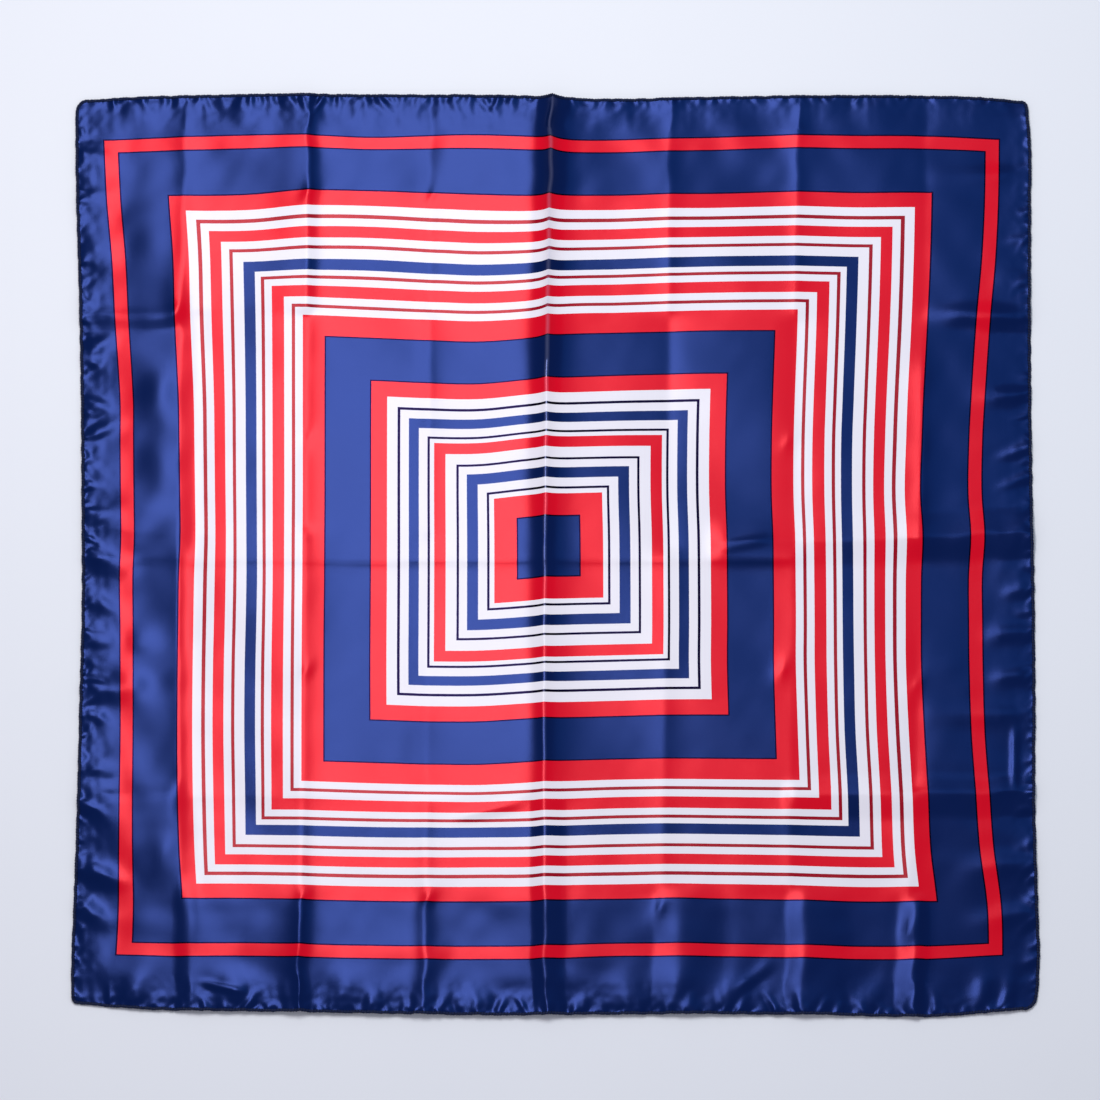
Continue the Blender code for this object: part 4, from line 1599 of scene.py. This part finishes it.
        # Mask along the sharpest crest, for its wear and for its painted highlight.
        wear_and_highlight_mask = mesh.attributes.new(self.wear_and_highlight_name, "FLOAT", "POINT")
        wear_and_highlight_mask.data.foreach_set("value", self.lie.crest_wear_and_highlight(x, y, self.wear_and_highlight_width))
        slots = np.zeros(len(mesh.polygons), dtype=np.int32)
        slots[len(upper) :] = 1
        mesh.polygons.foreach_set("material_index", slots)
        mesh.shade_smooth()
        mesh.set_sharp_from_angle(angle=SHARP_ANGLE)
        mesh.validate()
        return new_object("cloth", mesh)

    def dress(
        self, piece: bpy.types.Object, face: bpy.types.Material, back: bpy.types.Material
    ) -> None:
        """Gives the cloth its two sides and ties it to the frame.

        Args:
            piece: The cloth.
            face: The printed satin.
            back: The paler satin of the underside.
        """
        piece.data.materials.append(face)
        piece.data.materials.append(back)
        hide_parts("cloth_panel")
        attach(piece, "root")


@dataclass
class RolledHem:
    """One edge's rolled hem, with the overlock stitches that bind it."""

    side: Side
    lie: Lie
    width: float = 3.0
    height: float = 1.7
    step: float = 1.1  # along the hem
    ring: int = 12
    scallop: float = 5.6  # the roll is drawn in once every so far
    pinch: float = 0.20
    pinch_power: int = 3  # a higher one makes a shorter pinch
    wobble: float = 0.18  # how unevenly the roll runs along the edge
    # Each swing of the wobble: its share, its length, how far that strays and how slowly.
    swings: tuple[tuple[float, ...], ...] = ((1.0, 4.3, 1.8, 17.0), (0.8, 2.2, 1.3, 9.0))
    seam_gap: float = 0.3
    stitch_pitch: float = 2.8
    stitch_out: float = 0.12  # thread's middle beyond the roll's sides
    stitch_over: float = 0.10  # and over its top
    thread: float = 0.26  # radius
    clearance: float = 0.08  # under the roll

    def edge_run(self, low: float, high: float, inset: float) -> Array:
        """Points of a straight stretch of this edge.

        Args:
            low: The place along the edge where it starts.
            high: The place where it ends.
            inset: How far inside the edge it runs.

        Returns:
            A point to a row, in plan.
        """
        places = np.linspace(low, high, max(int(abs(high - low) / self.step), 2) + 1)
        out = HALF + self.lie.edge_offset(self.side, places) - inset
        if self.side in (Side.LEFT, Side.RIGHT):
            return np.stack([out if self.side is Side.RIGHT else -out, places], 1)
        return np.stack([places, out if self.side is Side.TOP else -out], 1)

    def arc(self, name: str, inset: float) -> Array:
        """Points of a corner's arc, from its upright edge to its level one.

        Args:
            name: The corner's name.
            inset: How far inside the edge it runs.

        Returns:
            A point to a row, in plan.
        """
        corner = CORNERS[name]
        centre = self.lie.corner_centre(corner)
        radius = corner.radius - inset
        steps = max(int(radius * math.pi / 2 / self.step), 4)
        angles = np.linspace(0.0, math.pi / 2, steps + 1)
        return np.stack(
            [
                centre[0] + corner.x_sign * radius * np.cos(angles),
                centre[1] + corner.y_sign * radius * np.sin(angles),
            ],
            1,
        )

    def path(self) -> Array:
        """The middle line of the hem. The left and right hems take the corners.

        Returns:
            A point to a row, in plan.
        """
        inset = self.width / 2
        if self.side in (Side.LEFT, Side.RIGHT):
            top = self.arc(f"top_{self.side.value}", inset)
            bottom = self.arc(f"bottom_{self.side.value}", inset)
            middle = self.edge_run(bottom[0][1], top[0][1], inset)
            return np.concatenate([bottom[::-1], middle[1:-1], top])
        low = self.lie.corner_centre(CORNERS[f"{self.side.value}_left"])[0] + self.seam_gap
        high = self.lie.corner_centre(CORNERS[f"{self.side.value}_right"])[0] - self.seam_gap
        return self.edge_run(low, high, inset)

    def spine(self) -> tuple[Array, Array, Array]:
        """The hem's path in space, which lies on the cloth's relief.

        Returns:
            The points, the way out of the cloth at each and the distance run up to each.
        """
        path = self.path()
        way = np.gradient(path, axis=0)
        way /= np.linalg.norm(way, axis=1)[:, None]
        out = np.stack([way[:, 1], -way[:, 0]], 1)
        if self.side in (Side.LEFT, Side.TOP):
            out = -out
        run = np.arange(len(path)) * self.step
        uneven = sum(
            share * np.sin(run / length + stray * np.sin(run / slow))
            for share, length, stray, slow in self.swings
        )
        path = path + out * (self.wobble * uneven)[:, None]
        lift = self.lie.height(path[:, 0], path[:, 1]) + self.clearance
        run = np.concatenate([[0.0], np.cumsum(np.linalg.norm(np.diff(path, axis=0), axis=1))])
        return np.column_stack([path, lift]), out, run

    def build_roll(self) -> bpy.types.Object:
        """Sweeps a rounded section along the edge and draws it in at each scallop.

        Returns:
            The roll.
        """
        spine, out, run = self.spine()
        angles = np.linspace(0.0, math.tau, self.ring, endpoint=False)
        nearness = 0.5 + 0.5 * np.cos(math.tau * run / self.scallop)
        drawn = 1.0 - self.pinch * nearness**self.pinch_power
        across = 0.5 * self.width * np.cos(angles)[None, :] * drawn[:, None]
        up = 0.5 * self.height * (1.0 + np.sin(angles)[None, :] * drawn[:, None])
        plan = spine[:, None, :2] + out[:, None, :] * across[:, :, None]
        points = np.concatenate([plan, (spine[:, 2:] + up)[:, :, None]], 2).reshape(-1, 3)
        count, ring = len(spine), self.ring
        grid = np.arange(count * ring).reshape(count, ring)
        turned = np.roll(grid, -1, axis=1)
        sides = np.stack([grid[:-1], grid[1:], turned[1:], turned[:-1]], -1).reshape(-1, 4)
        flip = self.side in (Side.LEFT, Side.TOP)
        sides = sides[:, ::-1] if flip else sides
        ends = [grid[0].tolist(), grid[-1][::-1].tolist()]
        ends = [end[::-1] for end in ends] if flip else ends
        mesh = bpy.data.meshes.new(f"roll_{self.side.value}")
        mesh.from_pydata((points * MM).tolist(), [], sides.tolist() + ends)
        mesh.shade_smooth()
        mesh.set_sharp_from_angle(angle=SHARP_ANGLE)
        return new_object(f"roll_{self.side.value}", mesh)

    def build_stitches(
        self, tree: bpy.types.NodeTree, thread: bpy.types.Material
    ) -> bpy.types.Object:
        """Sews the overlock stitches over the roll, along its spine.

        Args:
            tree: The geometry nodes that make them.
            thread: The thread's material.

        Returns:
            The stitches, as a mesh.
        """
        spine, _, _ = self.spine()
        line = bpy.data.meshes.new(f"stitches_{self.side.value}")
        points = spine + np.array([0.0, 0.0, 0.5 * self.height])
        line.from_pydata((points * MM).tolist(), [(i, i + 1) for i in range(len(points) - 1)], [])
        piece = new_object(f"stitches_{self.side.value}", line)
        modifier = piece.modifiers.new("overlock", "NODES")
        modifier.node_group = tree
        values = {
            "Pitch": self.stitch_pitch * MM,
            "Half Width": (0.5 * self.width + self.stitch_out) * MM,
            "Half Height": (0.5 * self.height + self.stitch_over) * MM,
            "Thread Radius": self.thread * MM,
            "Thread": thread,
        }
        for item in tree.interface.items_tree:
            if item.item_type == "SOCKET" and item.in_out == "INPUT" and item.name in values:
                modifier[item.identifier] = values[item.name]
        graph = bpy.context.evaluated_depsgraph_get()
        made = bpy.data.meshes.new_from_object(piece.evaluated_get(graph))
        piece.modifiers.clear()
        piece.data = made
        return piece

    def dress(
        self, roll: bpy.types.Object, stitches: bpy.types.Object, hem: bpy.types.Material
    ) -> None:
        """Gives the roll its finish and ties both pieces to the frame.

        Args:
            roll: The rolled edge.
            stitches: The stitches over it.
            hem: The roll's material.
        """
        roll.data.materials.append(hem)
        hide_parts(f"hem_{self.side.value}")
        for piece in (roll, stitches):
            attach(piece, "root")


LOOP_STEPS = 10
THREAD_SIDES = 5
SMALLEST_LOOP = (0.96, 0.97, 0.97)  # the stitches vary between these scales
LARGEST_LOOP = (1.04, 1.03, 1.05)


def stitch_sockets(tree: bpy.types.NodeTree) -> None:
    """Gives the stitch tree its inputs, with their first values, and its output.

    Slant is how far a loop leans along the line, as a share of its reach across it.

    Args:
        tree: The tree.
    """
    tree.interface.new_socket(name="Line", in_out="INPUT", socket_type="NodeSocketGeometry")
    sizes = {
        "Pitch": 0.003,
        "Half Width": 0.002,
        "Half Height": 0.001,
        "Thread Radius": 0.0003,
        "Slant": 0.35,
    }
    for name, value in sizes.items():
        made = tree.interface.new_socket(name=name, in_out="INPUT", socket_type="NodeSocketFloat")
        made.default_value = value
    seed = tree.interface.new_socket(name="Seed", in_out="INPUT", socket_type="NodeSocketInt")
    seed.default_value = 7
    tree.interface.new_socket(name="Thread", in_out="INPUT", socket_type="NodeSocketMaterial")
    tree.interface.new_socket(name="Stitches", in_out="OUTPUT", socket_type="NodeSocketGeometry")


def stitch_loop(nodes: Nodes, start: bpy.types.Node) -> Socket:
    """Adds the nodes that make one slanting loop of thread round the line.

    Args:
        nodes: The tree's builder.
        start: The tree's input node.

    Returns:
        The loop's geometry.
    """
    ring = {"Resolution": LOOP_STEPS, "Radius": 1.0}
    loop = nodes.add("GeometryNodeCurvePrimitiveCircle", ring, mode="RADIUS")
    place = nodes.add("GeometryNodeInputPosition")
    parts = nodes.add("ShaderNodeSeparateXYZ", {0: place.outputs[0]})
    across = nodes.math("MULTIPLY", parts.outputs[0], start.outputs["Half Width"])
    up = nodes.math("MULTIPLY", parts.outputs[1], start.outputs["Half Height"])
    along = nodes.math("MULTIPLY", across, start.outputs["Slant"])
    stood = nodes.add("ShaderNodeCombineXYZ", {"X": along, "Y": across, "Z": up})
    standing_inputs = {"Geometry": loop.outputs[0], "Position": stood.outputs[0]}
    standing = nodes.add("GeometryNodeSetPosition", standing_inputs)
    round_thread = {"Resolution": THREAD_SIDES, "Radius": start.outputs["Thread Radius"]}
    section = nodes.add("GeometryNodeCurvePrimitiveCircle", round_thread, mode="RADIUS")
    swept = {"Curve": standing.outputs[0], "Profile Curve": section.outputs[0]}
    return nodes.add("GeometryNodeCurveToMesh", swept).outputs[0]


def stitch_tree() -> bpy.types.NodeTree:
    """Geometry nodes that set a loop of thread over a line once every pitch.

    Returns:
        The tree.
    """
    tree = bpy.data.node_groups.new("overlock_stitches", "GeometryNodeTree")
    stitch_sockets(tree)
    nodes = Nodes(tree)
    start = nodes.add("NodeGroupInput")
    curve = nodes.add("GeometryNodeMeshToCurve", {"Mesh": start.outputs["Line"]})
    spacing = {"Curve": curve.outputs[0], "Length": start.outputs["Pitch"]}
    spaced = nodes.add("GeometryNodeResampleCurve", spacing, mode="LENGTH")
    tangent = nodes.add("GeometryNodeInputTangent")
    along_line = {"Vector": tangent.outputs[0]}
    turned = nodes.add("FunctionNodeAlignRotationToVector", along_line, axis="X")
    upright = nodes.add(
        "FunctionNodeAlignRotationToVector",
        {"Rotation": turned.outputs[0], "Vector": (0.0, 0.0, 1.0)},
        axis="Z",
        pivot_axis="X",
    )
    limits = {"Min": SMALLEST_LOOP, "Max": LARGEST_LOOP}
    size = nodes.add("FunctionNodeRandomValue", limits, data_type="FLOAT_VECTOR")
    tree.links.new(start.outputs["Seed"], size.inputs["Seed"])
    placed = nodes.add(
        "GeometryNodeInstanceOnPoints",
        {
            "Points": spaced.outputs[0],
            "Instance": stitch_loop(nodes, start),
            "Rotation": upright.outputs[0],
            "Scale": size.outputs[0],
        },
    )
    real = nodes.add("GeometryNodeRealizeInstances", {"Geometry": placed.outputs[0]})
    smooth = nodes.add("GeometryNodeSetShadeSmooth", {"Geometry": real.outputs[0]})
    finish = {"Geometry": smooth.outputs[0], "Material": start.outputs["Thread"]}
    dressed = nodes.add("GeometryNodeSetMaterial", finish)
    nodes.add("NodeGroupOutput", {0: dressed.outputs[0]})
    return tree


# --- Studio -------------------------------------------------------------------------------------


@dataclass(frozen=True)
class SoftBox:
    """A soft light: where it is, what it faces, its width and length, and its power in watts."""

    name: str
    place: tuple[float, float, float]
    aim: tuple[float, float, float]
    width: float
    length: float
    power: float
    colour: Colour


@dataclass(frozen=True)
class Studio:
    """The pale surface, the soft lights and the camera."""

    distance: float = 16.0
    lean: float = math.radians(17.0)  # off straight above, towards the lower edge
    aim: tuple[float, float] = (-0.0037, 0.0026)
    millimetres_per_pixel: float = 0.9424
    picture: int = 1100
    sensor: float = 36.0
    floor_side: float = 60.0
    floor_drop: float = 0.0002
    world_colour: Colour = (0.905, 0.945, 1.045)
    world_strength: float = 0.47
    clip: float = 200.0
    strip: SoftBox = SoftBox(
        name="strip",
        place=(-0.235, 0.85, 2.2),
        aim=(-0.235, 0.1, 0.0),
        width=0.57,
        length=1.32,
        power=34.2,
        colour=(1.0, 0.99, 0.985),
    )
    panel: SoftBox = SoftBox(
        name="panel",
        place=(0.47, 0.92, 2.2),
        aim=(0.40, 0.1, 0.0),
        width=0.90,
        length=0.95,
        power=3.0,
        colour=(0.20, 0.80, 1.0),
    )

    def build_floor(self) -> None:
        """Lays the pale surface under the cloth."""
        reach = self.floor_side / 2
        corners = [(-reach, -reach), (reach, -reach), (reach, reach), (-reach, reach)]
        mesh = bpy.data.meshes.new("surface")
        mesh.from_pydata([(x, y, -self.floor_drop) for x, y in corners], [], [(0, 1, 2, 3)])
        floor = new_object("surface", mesh)
        mesh.materials.append(SurfaceFinish().material("pale_surface"))

    def build_lights(self) -> None:
        """Hangs the soft lights and sets the even light around them."""
        for box in (self.strip, self.panel):
            light = bpy.data.lights.new(box.name, "AREA")
            light.shape, light.size, light.size_y = "RECTANGLE", box.width, box.length
            light.energy, light.color = box.power, box.colour
            lamp = bpy.data.objects.new(box.name, light)
            bpy.context.scene.collection.objects.link(lamp)
            lamp.location = box.place
            towards = np.array(box.aim) - np.array(box.place)
            level = math.hypot(towards[0], towards[1])
            tilt, turn = math.atan2(level, -towards[2]), math.atan2(-towards[0], towards[1])
            lamp.rotation_euler = (tilt, 0.0, turn)
            lamp.visible_camera = False
        world = bpy.data.worlds.new("studio")
        world.use_nodes = True
        sky = world.node_tree.nodes["Background"]
        sky.inputs["Color"].default_value = (*self.world_colour, 1.0)
        sky.inputs["Strength"].default_value = self.world_strength
        bpy.context.scene.world = world

    def build_camera(self) -> None:
        """Sets the camera far off, with a long lens, leaning towards the cloth's lower edge."""
        data = bpy.data.cameras.new("camera")
        data.sensor_width = self.sensor
        data.lens = self.sensor * self.distance / (self.picture * self.millimetres_per_pixel * MM)
        data.clip_end = self.clip
        camera = bpy.data.objects.new("camera", data)
        bpy.context.scene.collection.objects.link(camera)
        back, up = self.distance * math.sin(self.lean), self.distance * math.cos(self.lean)
        camera.location = (self.aim[0], self.aim[1] - back, up)
        camera.rotation_euler = (self.lean, 0.0, 0.0)
        bpy.context.scene.camera = camera

    def build(self) -> None:
        """Builds all of it and sets plain display colours."""
        self.build_floor()
        self.build_lights()
        self.build_camera()
        bpy.context.scene.view_settings.view_transform = "Standard"


def main() -> None:
    """Builds the bandana piece by piece, then the studio round it."""
    logging.basicConfig(level=logging.INFO, format="%(message)s")
    lie, layout = Lie(), PrintLayout()
    stripes, weave = nested_stripes_group(), satin_weave_group()
    satin = PrintedSatin().material("printed_satin", stripes, weave)
    dull = PrintedSatin(fade=0.45, roughness=0.6, navy_metallic=0.02, red_metallic=0.0)
    reverse = dull.material("satin_reverse", stripes, weave)
    rolled = ThreadFinish(colour=(0.004, 0.014, 0.075), dip=(0.002, 0.006, 0.035), roughness=0.45)
    hem = rolled.material("hem_satin")
    sewn = ThreadFinish(colour=(0.003, 0.008, 0.035), dip=(0.001, 0.003, 0.014), roughness=0.5)
    thread = sewn.material("overlock_thread")
    tree = stitch_tree()
    panel = ClothPanel(lie, layout)
    cloth = panel.build()
    panel.dress(cloth, satin, reverse)
    LOG.info("%s: %d faces", cloth.name, len(cloth.data.polygons))
    trims = []
    for side in Side:
        edge = RolledHem(side, lie)
        roll, stitches = edge.build_roll(), edge.build_stitches(tree, thread)
        edge.dress(roll, stitches, hem)
        trims += [roll, stitches]
        LOG.info("%s: %d faces", roll.name, len(roll.data.polygons))
        LOG.info("%s: %d faces", stitches.name, len(stitches.data.polygons))
    Studio().build()


if __name__ == "__main__":
    main()
